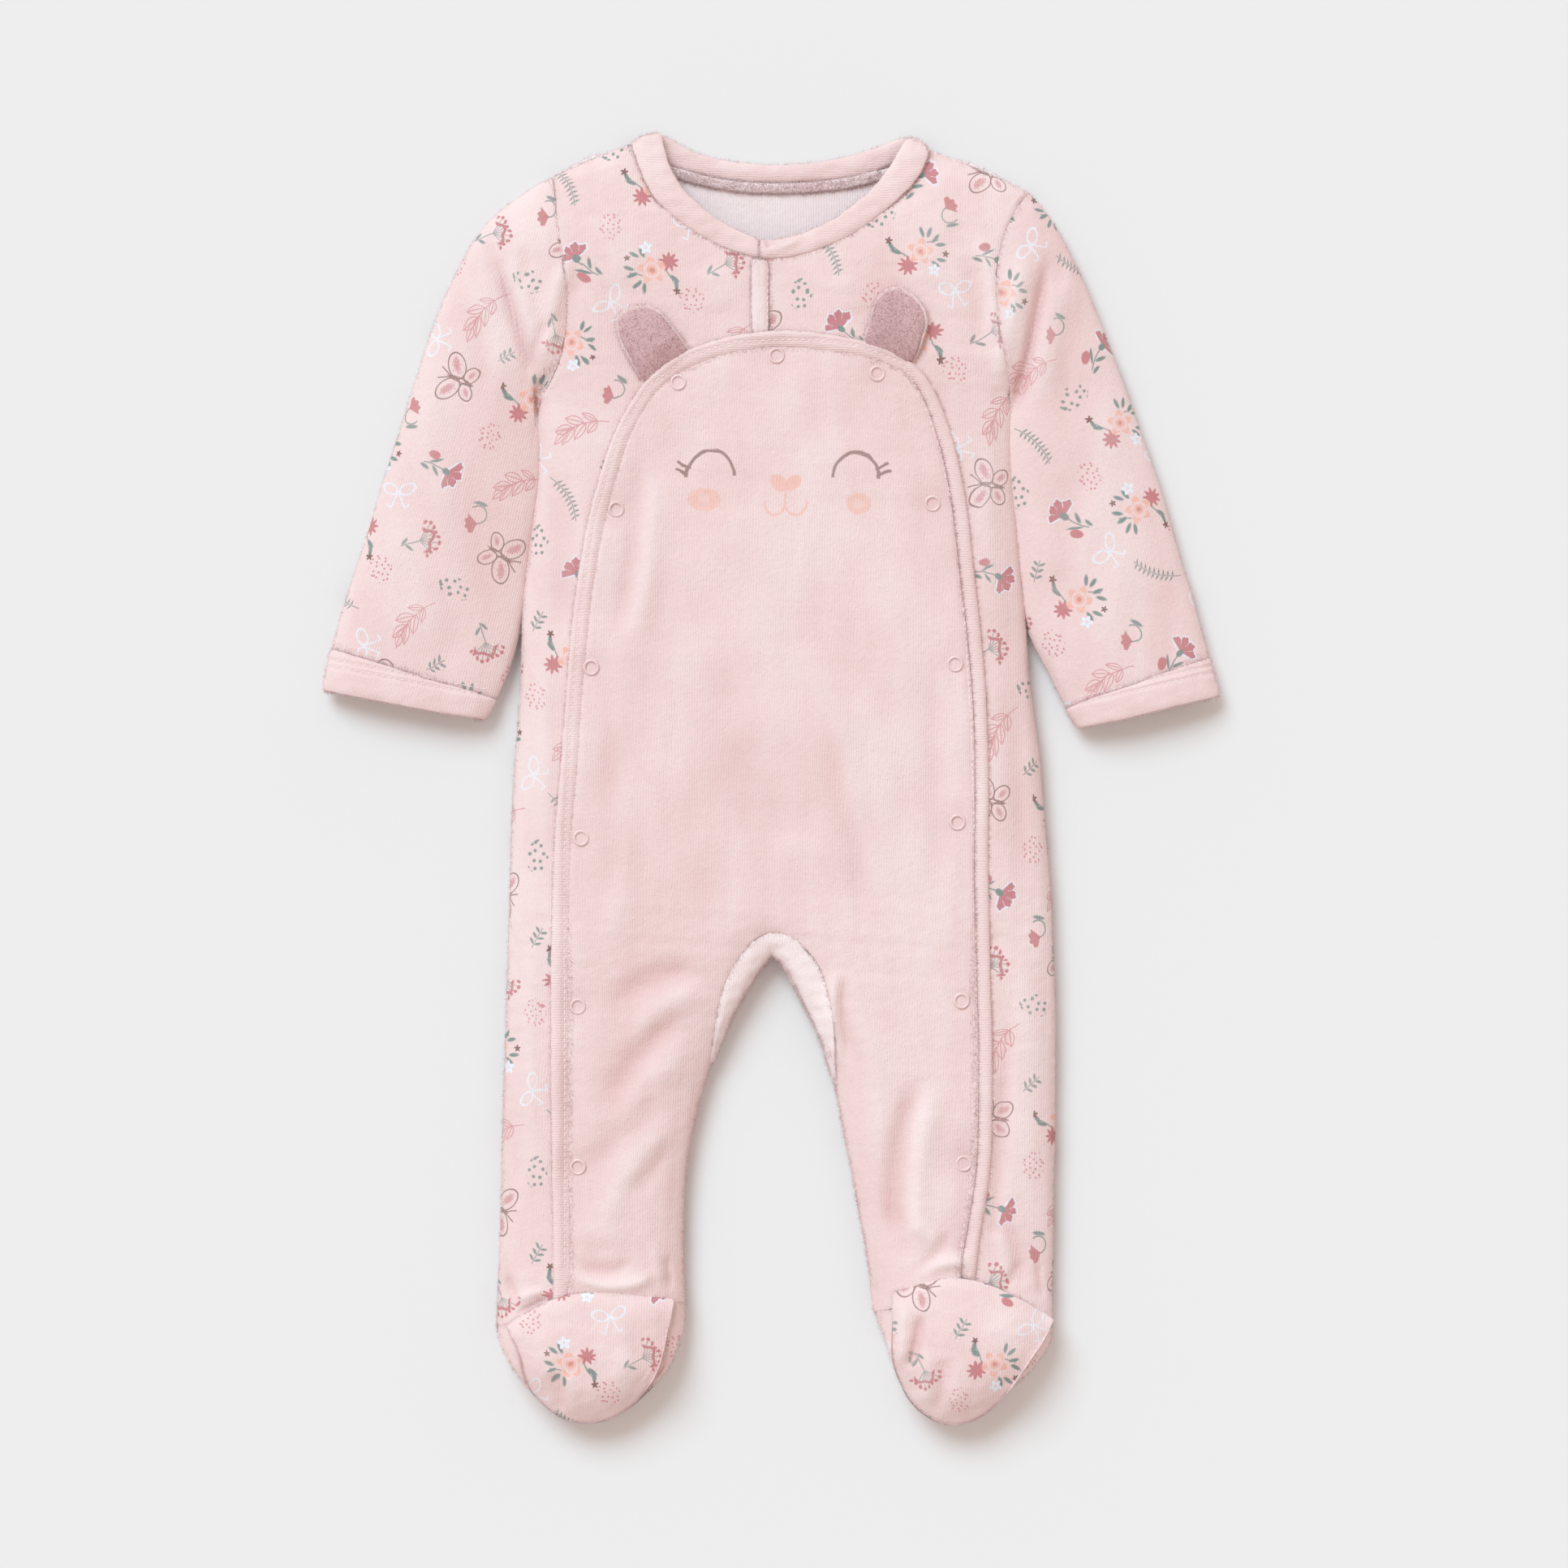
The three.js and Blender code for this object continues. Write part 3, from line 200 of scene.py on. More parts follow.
def oval(x, y, centre, radii, degrees=0):
    """About how far a place is outside an oval."""
    x, y = turned(x - centre[0], y - centre[1], degrees)
    return (length(x * (1 / radii[0]), y * (1 / radii[1])) - 1) * min(radii)


def stroke(x, y, start, end, half):
    """About how far a place is outside a straight stroke with round ends."""
    dx, dy = end[0] - start[0], end[1] - start[1]
    size = math.hypot(dx, dy)
    x, y = turned(x - start[0], y - start[1], math.degrees(math.atan2(dy, dx)))
    past = abs(x - size / 2) - size / 2
    return length(past.most(0), y) - half


def inked(distance, soft=0.35, strength=1.0):
    """How much ink lies at a place, soft at the edge as on pile."""
    return Field.maths("MULTIPLY_ADD", distance, -1 / soft, 0.5, clamp=True) * strength


def petals(x, y, count, radius, depth):
    r = length(x, y)
    angle = Field.maths("ARCTAN2", y, x)
    lobe = Field.maths("COSINE", angle * count)
    return r - (lobe * (radius * depth) + radius * (1 - depth)), r


def leaf_outline(x, y, base, degrees, size, width):
    """How far a place is from the outline and the vein of a pointed leaf."""
    x, y = turned(x - base[0], y - base[1], degrees)
    along = x * (1 / size)
    half = along * (1.0 - along) * (4 * width)
    beyond = abs(x - size / 2) - size / 2
    return abs(abs(y) - half).least(abs(y)).most(beyond)


def scattered(x, y, spacing):
    """How far a place is from the nearest of some loosely strewn points."""
    place = Field.tree.nodes.new("ShaderNodeCombineXYZ")
    Field.tree.links.new(x.socket, place.inputs[0])
    Field.tree.links.new(y.socket, place.inputs[1])
    strewn = Field.tree.nodes.new("ShaderNodeTexVoronoi")
    strewn.voronoi_dimensions = "2D"
    set_inputs(strewn, {"Scale": 1 / spacing, "Randomness": 0.75})
    Field.tree.links.new(place.outputs[0], strewn.inputs["Vector"])
    return Field(strewn.outputs["Distance"]) * spacing


def bunch(x, y):
    """A peach flower with a rose one, a white one, leaves and brown buds."""
    x, y = x * 0.82, y * 0.82
    leaves = None
    for cx, cy, degrees in ((6.4, 3.6, 30), (8.0, 1.2, -10), (1.8, 7.0, 95), (4.4, 6.4, 60), (-8.4, 1.6, 150),
                            (-9.6, 3.8, 110), (4.6, -5.6, -50), (7.2, -4.4, -20)):
        leaf = oval(x, y, (cx, cy), (2.0, 0.72), degrees)
        leaves = leaf if leaves is None else leaves.least(leaf)
    for start, end in (((-5, -1), (-9.6, 4.2)), ((3, 3), (7.4, 3.0))):
        leaves = leaves.least(stroke(x, y, start, end, 0.2))
    peach, core = petals(x, y, 5, 5.0, 0.2)
    rose, _ = petals(x + 5.4, y + 4.2, 9, 3.6, 0.22)
    white, heart = petals(x - 3.6, y + 7.8, 5, 2.5, 0.22)
    buds, _ = petals(x + 10.2, y - 6.0, 5, 1.5, 0.25)
    berries, _ = petals(x - 9.4, y + 2.6, 5, 1.3, 0.25)
    return [
        (inked(leaves), SAGE),
        (inked(rose, 0.5, 0.9), ROSE),
        (inked(peach, 0.5, 0.9), PEACH),
        (inked(abs(core - 2.4) - 0.5, 0.8, 0.45), CHALK),
        (inked(core - 0.9, 0.6, 0.6), ROSE),
        (inked(white), CHALK),
        (inked(heart - 0.6, 0.4, 0.5), PEACH),
        (inked(buds.least(berries)), UMBER),
    ]


def carnation(x, y):
    """A frilled fan of rose petals with a pale rim, on a leafy stem with a small bud."""
    x, y = x * 0.85, y * 0.85 - 3.0
    bend = x - y * y * 0.035
    stem = stroke(bend, y, (0, 0), (0, -10), 0.24)
    leaves = oval(bend, y, (2.1, -4.6), (2.5, 0.65), 55).least(oval(bend, y, (-2.0, -6.6), (2.4, 0.65), 130))
    leaves = leaves.least(oval(bend, y, (1.8, -8.8), (2.1, 0.6), 60))
    r = length(x, y + 0.6)
    angle = Field.maths("ARCTAN2", x, y + 0.6)
    frill = abs(Field.maths("SINE", angle * 4.4)) * 1.3 + Field.maths("SINE", angle * 19.0) * 0.25
    fan = (r - (frill + 4.9)).most((abs(angle) - 1.3) * r)
    streaks = abs(Field.maths("SINE", angle * 4.4)) * r
    calyx = oval(x, y, (0, -0.9), (1.2, 1.6))
    bud = oval(bend, y, (-4.2, -8.6), (2.5, 1.7), 60)
    return [
        (inked(stem.least(leaves)), SAGE),
        (inked(fan - 0.6, 0.35, 0.9), CHALK),
        (inked(fan, 0.4, 0.92), ROSE),
        (inked((streaks - 0.5).most(fan).most(3.0 - r), 0.5, 0.6), CHALK),
        (inked(calyx), SAGE),
        (inked(bud, 0.4, 0.9), ROSE),
    ]


# The leaves of the outlined spray: where each starts up the stem, its angle, its length and its width.
SPRAY = [
    (-7.5, 128, 7.6, 1.5), (-7.5, 48, 7.0, 1.4), (-2.5, 122, 8.8, 1.9), (-1.5, 52, 8.8, 1.9),
    (3.0, 112, 8.6, 1.8), (4.0, 66, 8.6, 1.8), (6.0, 90, 8.4, 1.7),
]


def leaf_spray(x, y):
    """Pointed leaves in pink outline up a curved stem."""
    bend = x + y * y * 0.02
    lines = abs(bend).most(abs(y + 3.0) - 9.5)
    for start, degrees, size, width in SPRAY:
        lines = lines.least(leaf_outline(bend, y, (0, start), degrees, size, width))
    return [(inked(lines - 0.22, 0.35, 0.85), BLUSH)]


def umbel(x, y):
    """Rose seeds on fine stalks that fan out from a stem."""
    r = length(x, y)
    angle = Field.maths("ARCTAN2", x, y)
    near = angle.wrapped(0.3)
    between = (angle + 0.15).wrapped(0.3)
    spread = (abs(angle) - 1.06) * 4.0
    reach = Field.maths("SINE", angle * 5.0) * 0.7
    stalks = (abs(near * r) - 0.16).most(r - 7.6).most(spread)
    outer = length(r - 8.0 - reach, near * 8.0)
    inner = length(r - 5.6 + reach, between * 5.6)
    seeds = outer.least(inner).most(spread) - 0.85
    stem = stroke(x, y, (0, 0), (1.6, -9), 0.24)
    leaves = oval(x, y, (2.9, -5.4), (2.1, 0.7), 50).least(oval(x, y, (-0.2, -7.2), (2.1, 0.7), 130))
    return [
        (inked(stalks.least(stem).least(leaves), 0.35, 0.9), SAGE),
        (inked(seeds, 0.4, 0.9), ROSE),
    ]


def butterfly(x, y):
    """A butterfly in brown outline with pink cells in its wings."""
    x, y = x * 0.84, y * 0.84
    u = abs(x)
    upper = oval(u, y, (4.6, 3.4), (5.0, 3.3), 34)
    lower = oval(u, y, (3.4, -3.4), (3.5, 2.6), -38)
    body = oval(x, y, (0, 0), (0.75, 4.3))
    feeler = stroke(u, y, (0.3, 4.4), (2.2, 8.4), 0.02)
    lines = abs(upper).least(abs(lower)).least(abs(body)).least(feeler)
    cells = oval(u, y, (4.9, 3.7), (2.9, 1.2), 34).least(oval(u, y, (3.5, -3.6), (1.8, 0.9), -38))
    spots = (scattered(x, y, 1.6) - 0.3).most(upper + 0.9)
    return [
        (inked(cells, 0.7, 0.55), ROSE),
        (inked(spots, 0.3, 0.6), BLUSH),
        (inked(lines - 0.2, 0.3, 0.9), UMBER),
    ]


def fern(x, y):
    """A grey-green frond with close leaflets."""
    bend = x - y * y * 0.02
    u = abs(bend)
    v = y.wrapped(2.1)
    leaflet_x, leaflet_y = turned(u, v, 32)
    frond = oval(leaflet_x, leaflet_y, (2.9, 0), (2.7, 0.6)).most(abs(y) - 9.4)
    frond = frond.least(stroke(bend, y, (0, -12), (0, 10.5), 0.2))
    return [(inked(frond, 0.35, 0.95), SAGE)]


def dots(x, y, spacing, size, radii):
    """A loose oval cluster of dots."""
    return (scattered(x, y, spacing) - size).most(oval(x, y, (0, 0), radii))


def bow(x, y):
    """A white ribbon bow drawn in one line."""
    x, y = x * 0.84, y * 0.84
    u = abs(x)
    loop = abs(oval(u, y, (3.4, 1.2), (3.1, 1.9), 24))
    tail = stroke(u, y, (0.2, 0), (2.6, -5.8), 0.02).least(stroke(u, y, (2.6, -5.8), (4.2, -4.8), 0.02))
    return loop.least(tail) - 0.26


def drooping_bud(x, y):
    """A small rose head hanging from a bent stalk with one leaf."""
    x, y = x * 0.85, y * 0.85
    arch = abs(length(x - 1.6, y - 1.4) - 3.2).most(0.6 - y) - 0.26
    leaf = oval(x, y, (-2.2, 3.2), (2.4, 0.75), 60)
    r = length(x - 4.6, y - 1.2)
    angle = Field.maths("ARCTAN2", x - 4.6, 1.2 - y)
    head = (r - (Field.maths("SINE", angle * 11.0) * 0.35 + 4.4)).most((abs(angle) - 1.0) * r)
    return arch.least(leaf), head


def leaf_sprig(x, y):
    """A short grey-green twig with a few leaves."""
    leaves = oval(abs(x), y.wrapped(2.8), (1.6, 0.5), (1.6, 0.6), 35).most(abs(y) - 4.2)
    return leaves.least(stroke(x, y, (0, -4.8), (0, 4.8), 0.2))


# The printed repeat: for each of its sixteen squares, how far the flower in it is turned, where it stands
# from the square's middle, and its kind.
SQUARE = 35.0  # millimetres
LARGE_CHART = [
    (20, 0.3, 0.6, 0), (110, 0.7, 0.4, 2), (300, 0.5, 0.5, 1), (80, 0.4, 0.7, 4),
    (200, 0.6, 0.3, 3), (340, 0.4, 0.5, 0), (60, 0.5, 0.7, 5), (150, 0.6, 0.5, 2),
    (250, 0.4, 0.6, 4), (30, 0.7, 0.5, 1), (170, 0.5, 0.3, 0), (290, 0.3, 0.5, 3),
    (120, 0.5, 0.5, 2), (210, 0.3, 0.6, 5), (10, 0.6, 0.6, 0), (240, 0.5, 0.4, 1),
]
SMALL_CHART = [
    (0, 0.5, 0.4, 0), (70, 0.4, 0.6, 2), (200, 0.6, 0.5, 1), (130, 0.5, 0.5, 3),
    (310, 0.4, 0.5, 4), (20, 0.5, 0.6, 0), (260, 0.5, 0.4, 3), (100, 0.6, 0.6, 2),
    (160, 0.5, 0.5, 1), (330, 0.6, 0.4, 4), (45, 0.4, 0.5, 2), (220, 0.5, 0.6, 0),
    (290, 0.5, 0.5, 3), (80, 0.6, 0.5, 1), (180, 0.4, 0.4, 0), (10, 0.5, 0.6, 2),
]


def chart_square(x, y, chart, sway):
    """Where a place lies in its square of the repeat, along the flower's own directions, and its kind."""
    column = Field.maths("FLOOR", x * (1 / SQUARE))
    row = Field.maths("FLOOR", y * (1 / SQUARE))
    number = Field.maths("FLOORED_MODULO", column, 4.0) + Field.maths("FLOORED_MODULO", row, 4.0) * 4.0
    ramp = Field.tree.nodes.new("ShaderNodeValToRGB")
    ramp.color_ramp.interpolation = "CONSTANT"
    stops = ramp.color_ramp.elements
    stops.remove(stops[1])
    for i, (degrees, across, up, kind) in enumerate(chart):
        stop = stops[0] if i == 0 else stops.new(i / len(chart))
        stop.color = (degrees / 360, across, up, kind / 8)
    at = (number + 0.5) * (1 / len(chart))
    Field.tree.links.new(at.socket, ramp.inputs["Fac"])
    split = Field.tree.nodes.new("ShaderNodeSeparateColor")
    Field.tree.links.new(ramp.outputs["Color"], split.inputs[0])
    angle = Field(split.outputs[0]) * math.tau
    local_x = x - (column + 0.5) * SQUARE - (Field(split.outputs[1]) - 0.5) * sway
    local_y = y - (row + 0.5) * SQUARE - (Field(split.outputs[2]) - 0.5) * sway
    c = Field.maths("COSINE", angle)
    s = Field.maths("SINE", angle)
    kind = Field(ramp.outputs["Alpha"]) * 8.0
    return local_x * c + local_y * s, local_y * c - local_x * s, kind


def of_kind(x, kind, wanted):
    """x, but far away in squares that hold another flower."""
    return x + abs(kind - wanted) * 400.0


def laid_over(below, above, amount):
    """One colour over another, as much as the amount says."""
    node = Field.tree.nodes.new("ShaderNodeMix")
    node.data_type = "RGBA"
    Field.tree.links.new(amount.socket, node.inputs["Factor"])
    for socket, value in ((node.inputs["A"], below), (node.inputs["B"], above)):
        if isinstance(value, tuple):
            socket.default_value = (*value, 1)
        else:
            Field.tree.links.new(value, socket)
    return node.outputs["Result"]


def noise_field(vector, scale, detail=2.0, roughness=0.5, distortion=0.0):
    node = Field.tree.nodes.new("ShaderNodeTexNoise")
    set_inputs(node, {"Scale": scale, "Detail": detail, "Roughness": roughness, "Distortion": distortion})
    Field.tree.links.new(vector, node.inputs["Vector"])
    return Field(node.outputs["Fac"])


def printed_flowers(colour, x, y):
    """The cloth's colour with the printed flowers over it. x and y are in millimetres on the cloth."""
    px, py, kind = chart_square(x, y, LARGE_CHART, 14.0)
    for number, draw in enumerate((bunch, carnation, leaf_spray, umbel, butterfly, fern)):
        for amount, ink in draw(of_kind(px, kind, number), py):
            colour = laid_over(colour, ink, amount)
    px, py, kind = chart_square(x + SQUARE / 2, y + SQUARE / 2, SMALL_CHART, 10.0)
    far = of_kind(px, kind, 0)
    colour = laid_over(colour, BLUSH, inked(dots(far, py, 2.3, 0.5, (5.2, 6.8)), 0.3, 0.9))
    far = of_kind(px, kind, 1)
    colour = laid_over(colour, SAGE, inked(dots(far, py, 3.3, 0.8, (7.4, 5.0)), 0.3, 0.9))
    far = of_kind(px, kind, 2)
    colour = laid_over(colour, CHALK, inked(bow(far, py), 0.35, 0.9))
    stalk, head = drooping_bud(of_kind(px, kind, 3), py)
    colour = laid_over(colour, SAGE, inked(stalk, 0.35, 0.9))
    colour = laid_over(colour, ROSE, inked(head, 0.4, 0.85))
    far = of_kind(px, kind, 4)
    return laid_over(colour, SAGE, inked(leaf_sprig(far, py), 0.35, 0.9))


def sleeping_face(colour, x, y):
    """A plain sleeping face: lids in brown, cheeks, nose and mouth in peach."""
    lids = None
    for side, cx, cy, rx, ry in ((-1, -26.6, 133.0, 10.6, 11.6), (1, 37.6, 132.2, 10.3, 11.6)):
        arc = abs(oval(x, y, (cx, cy), (rx, ry))).most(cy + 0.5 - y)
        lash_x = cx + side * rx * 0.92
        lash_y = cy + 3.4
        upper = stroke(x, y, (lash_x, lash_y), (lash_x + side * 4.6, lash_y + 3.4), 0.0)
        lower = stroke(x, y, (lash_x + side * 0.6, lash_y - 2.6), (lash_x + side * 5.6, lash_y - 0.4), 0.0)
        both = arc.least(upper).least(lower)
        lids = both if lids is None else lids.least(both)
    colour = laid_over(colour, UMBER, inked(lids - 0.72, 0.5, 0.8))
    for cx, cy, rx, ry in ((-29.5, 123.0, 7.3, 5.0), (38.6, 120.8, 5.2, 4.4)):
        cheek = oval(x, y, (cx, cy), (rx, ry))
        colour = laid_over(colour, PEACH, inked(cheek, 0.9, 0.6))
        colour = laid_over(colour, CHEEK_MIDDLE, inked(cheek + min(rx, ry) * 0.6, 0.9, 0.55))
    nose_x = abs(x - 6.5)
    nose = oval(nose_x, y, (2.9, 130.0), (4.1, 2.9), 42)
    colour = laid_over(colour, PEACH, inked(nose, 0.6, 0.7))
    smile = abs(oval(nose_x, y, (4.6, 121.6), (4.6, 5.2))).most(y - 121.8)
    philtrum = stroke(x, y, (6.5, 126.0), (6.5, 121.5), 0.0)
    return laid_over(colour, PEACH, inked(smile.least(philtrum) - 0.5, 0.6, 0.7))


def velour(name, light, dark, decoration=None, rib=1.0):
    """Brushed cotton velour, printed or plain, on the piece's own cloth coordinates."""
    material, tree, shader = new_material(name)
    Field.tree = tree
    cloth = tree.nodes.new("ShaderNodeUVMap")
    cloth.uv_map = "cloth"
    split = tree.nodes.new("ShaderNodeSeparateXYZ")
    tree.links.new(cloth.outputs[0], split.inputs[0])
    x = Field(split.outputs[0]) * 1000.0
    y = Field(split.outputs[1]) * 1000.0
    place = tree.nodes.new("ShaderNodeTexCoord").outputs["Object"]

    along_grain = tree.nodes.new("ShaderNodeVectorMath")
    along_grain.operation = "MULTIPLY"
    along_grain.inputs[1].default_value = (1.0, 0.34, 0.6)
    tree.links.new(place, along_grain.inputs[0])
    nap = noise_field(along_grain.outputs[0], 22.0, 3.0, 0.5, 0.3)
    brushed = noise_field(along_grain.outputs[0], 90.0, 2.0, 0.5, 0.6)
    leaning = Field.maths("MULTIPLY_ADD", nap + brushed * 0.4, 1.9, -0.83, clamp=True)
    colour = laid_over(dark, light, leaning)
    if decoration:
        colour = decoration(colour, x, y)
    drift = noise_field(place, 120.0, 1.0) * 0.9
    ribs = Field.maths("SINE", (x + drift) * (math.tau / RIB_PITCH)) * (0.5 * rib)
    pile = noise_field(place, 1500.0, 3.0, 0.65)
    tufts = noise_field(place, 420.0, 2.0, 0.6)
    shade = (pile - 0.5) * 0.34 + (tufts - 0.5) * 0.2 + ribs * 0.045
    colour = laid_over(colour, PILE_TIPS, shade.most(0.0))
    colour = laid_over(colour, PILE_ROOTS, (shade * -1.0).most(0.0))
    # Painted shade and highlight: by how far the cloth is raised, it is painted a deeper pink in the hollows
    # of its folds, round the snaps' dimples and along the stitch rows, and paler on the ridges.
    fold = tree.nodes.new("ShaderNodeAttribute")
    fold.attribute_name = "fold"
    fold = Field(fold.outputs["Fac"])
    colour = laid_over(colour, PAINTED_SHADE_PINK, (fold * -0.2).most(0).least(0.5))
    colour = laid_over(colour, HIGHLIGHT_AND_SHEEN_PINK, (fold * 0.13).most(0).least(0.3))
    tree.links.new(colour, shader.inputs["Base Color"])

    rough = Field.maths("MULTIPLY_ADD", pile, 0.25, 0.72, clamp=True)
    tree.links.new(rough.socket, shader.inputs["Roughness"])
    bump = tree.nodes.new("ShaderNodeBump")
    set_inputs(bump, {"Strength": 0.8, "Distance": 0.0005})
    relief = pile * 0.55 + tufts * 0.7 + ribs * 0.22
    tree.links.new(relief.socket, bump.inputs["Height"])
    tree.links.new(bump.outputs[0], shader.inputs["Normal"])
    set_inputs(shader, {"Sheen Weight": 0.6, "Sheen Roughness": 0.38, "Sheen Tint": (*HIGHLIGHT_AND_SHEEN_PINK, 1)})
    set_inputs(shader, {"Specular IOR Level": 0.18})
    return material


printed_velour = velour("printed_velour", PINK_LIGHT, PINK_DARK, printed_flowers)
plain_velour = velour("plain_velour", PINK_LIGHT, PINK_DARK)
face_velour = velour("bib_velour", PINK_LIGHT, PINK_DARK, sleeping_face)
inner_velour = velour("inner_velour", *INNER_PINKS, rib=1.4)

# Back
# One printed panel from the neck to both ankles, folded up a little at the sides. Its smooth inner face
# shows in the neck opening.
INNER_FACING = 0.35
RIM_ANGLE = math.radians(55)
RIM_CREASE = 0.8
RIM_REACH = 0.5  # millimetres that a cut edge is moved out, so that sewn edges meet
TOP_ROUND = (30.0, 9.5)  # millimetres in from the edge, and up
UNDER_ROUND = (13.0, 7.5)
UNDERSIDE_SHIFT = (520.0, 0.0)  # millimetres from the top's cloth coordinates to the underside's


def fine_shell(name, node, levels, crease=RIM_CREASE):
    """A fine shell on its solid's form: the skin merged, made four-sided and rounded at its cut edges."""
    bm = bmesh.new()
    bm.from_mesh(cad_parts[node].data)
    bmesh.ops.remove_doubles(bm, verts=bm.verts, dist=0.00001)
    bmesh.ops.join_triangles(
        bm,
        faces=bm.faces,
        angle_face_threshold=math.radians(35),
        angle_shape_threshold=math.radians(70),
    )
    creases = bm.edges.layers.float.new("crease_edge")
    rims = [edge for edge in bm.edges if len(edge.link_faces) == 2 and edge.calc_face_angle() > RIM_ANGLE]
    rim_set = set(rims)
    for edge in rims:
        edge[creases] = crease
    near_edge = bm.verts.layers.float.new("near_edge")
    narrow = {}
    for vertex in {vertex for edge in rims for vertex in edge.verts}:
        vertex[near_edge] = 1.0
        cut = [face for face in vertex.link_faces if sum(edge in rim_set for edge in face.edges) >= 2]
        narrow[vertex] = sum((face.normal for face in cut), Vector())
    for vertex, way in narrow.items():
        if way.length > 0.1:
            vertex.co += way.normalized() * RIM_REACH * MM
    mesh = bpy.data.meshes.new(name)
    bm.to_mesh(mesh)
    bm.free()
    piece = bpy.data.objects.new(name, mesh)
    scene.collection.objects.link(piece)
    finer = piece.modifiers.new("finer", "SUBSURF")
    finer.levels = finer.render_levels = levels
    settled = piece.evaluated_get(bpy.context.evaluated_depsgraph_get())
    piece.data = bpy.data.meshes.new_from_object(settled)
    piece.modifiers.clear()
    piece.data.name = name
    if "crease_edge" in piece.data.attributes:
        piece.data.attributes.remove(piece.data.attributes["crease_edge"])
    return piece


def read_all(items, name, width=1, kind=float):
    """One property of all of a mesh's items, as an array with a row for each."""
    values = np.empty(len(items) * width, dtype=kind)
    items.foreach_get(name, values)
    return values.reshape(-1, width) if width > 1 else values


def points_of(piece):
    return read_all(piece.data.vertices, "co", 3) / MM


def normals_of(piece):
    return read_all(piece.data.vertices, "normal", 3)


def edge_nearness(piece):
    """One at the piece's cut edges, falling to nought a few millimetres in."""
    return read_all(piece.data.attributes["near_edge"].data, "value")


def put_points(piece, points):
    piece.data.vertices.foreach_set("co", (points * MM).ravel())
    piece.data.update()


def turned_edge(normals, rounding):
    """How much longer the cloth is than its plan, out to a place on the turned edge, by the way it faces."""
    wide, high = rounding
    turn = np.linspace(0, math.pi / 2, 91)
    pace = np.sqrt((wide * np.sin(turn)) ** 2 + (high * np.cos(turn)) ** 2)
    left = np.flip(np.cumsum(np.flip(pace))) * (turn[1] - turn[0])
    spare = np.maximum(left - wide * np.cos(turn), 0)
    level = np.hypot(normals[:, 0], normals[:, 1])
    here = np.arctan2(high * np.abs(normals[:, 2]), wide * level)
    return np.interp(here, turn, spare) / np.maximum(level, 1e-6) * (level > 0.02)


def lay_cloth_coordinates(piece, degrees=0.0, shift=(0.0, 0.0)):
    """The cloth's own flat coordinates, turned to its grain, with the print shifted."""
    mesh = piece.data
    points = points_of(piece)
    normals = normals_of(piece)
    sides = []
    for rounding in (TOP_ROUND, UNDER_ROUND):
        spare = turned_edge(normals, rounding)
        sides.append(points[:, :2] + normals[:, :2] * spare[:, None])
    corner_of = read_all(mesh.loops, "vertex_index", kind=np.int32)
    sizes = read_all(mesh.polygons, "loop_total", kind=np.int32)
    up = np.repeat(read_all(mesh.polygons, "normal", 3)[:, 2] >= 0, sizes)
    flat = np.where(up[:, None], sides[0][corner_of], sides[1][corner_of] * (-1, 1) + UNDERSIDE_SHIFT)
    c, s = math.cos(math.radians(degrees)), math.sin(math.radians(degrees))
    flat = np.stack([flat[:, 0] * c + flat[:, 1] * s, flat[:, 1] * c - flat[:, 0] * s], axis=1) + shift
    layer = mesh.uv_layers.get("cloth") or mesh.uv_layers.new(name="cloth")
    layer.data.foreach_set("uv", (flat * MM).astype(np.float32).ravel())


def wander(points, size, seed):
    """A smooth irregular rise and fall of about one, size millimetres across."""
    rng = np.random.default_rng(seed)
    total = np.zeros(len(points))
    for _ in range(9):
        way = rng.normal(size=3)
        way *= rng.uniform(0.6, 1.4) * math.tau / size / np.linalg.norm(way)
        total += np.sin(points @ way + rng.uniform(0, math.tau))
    return total / 3


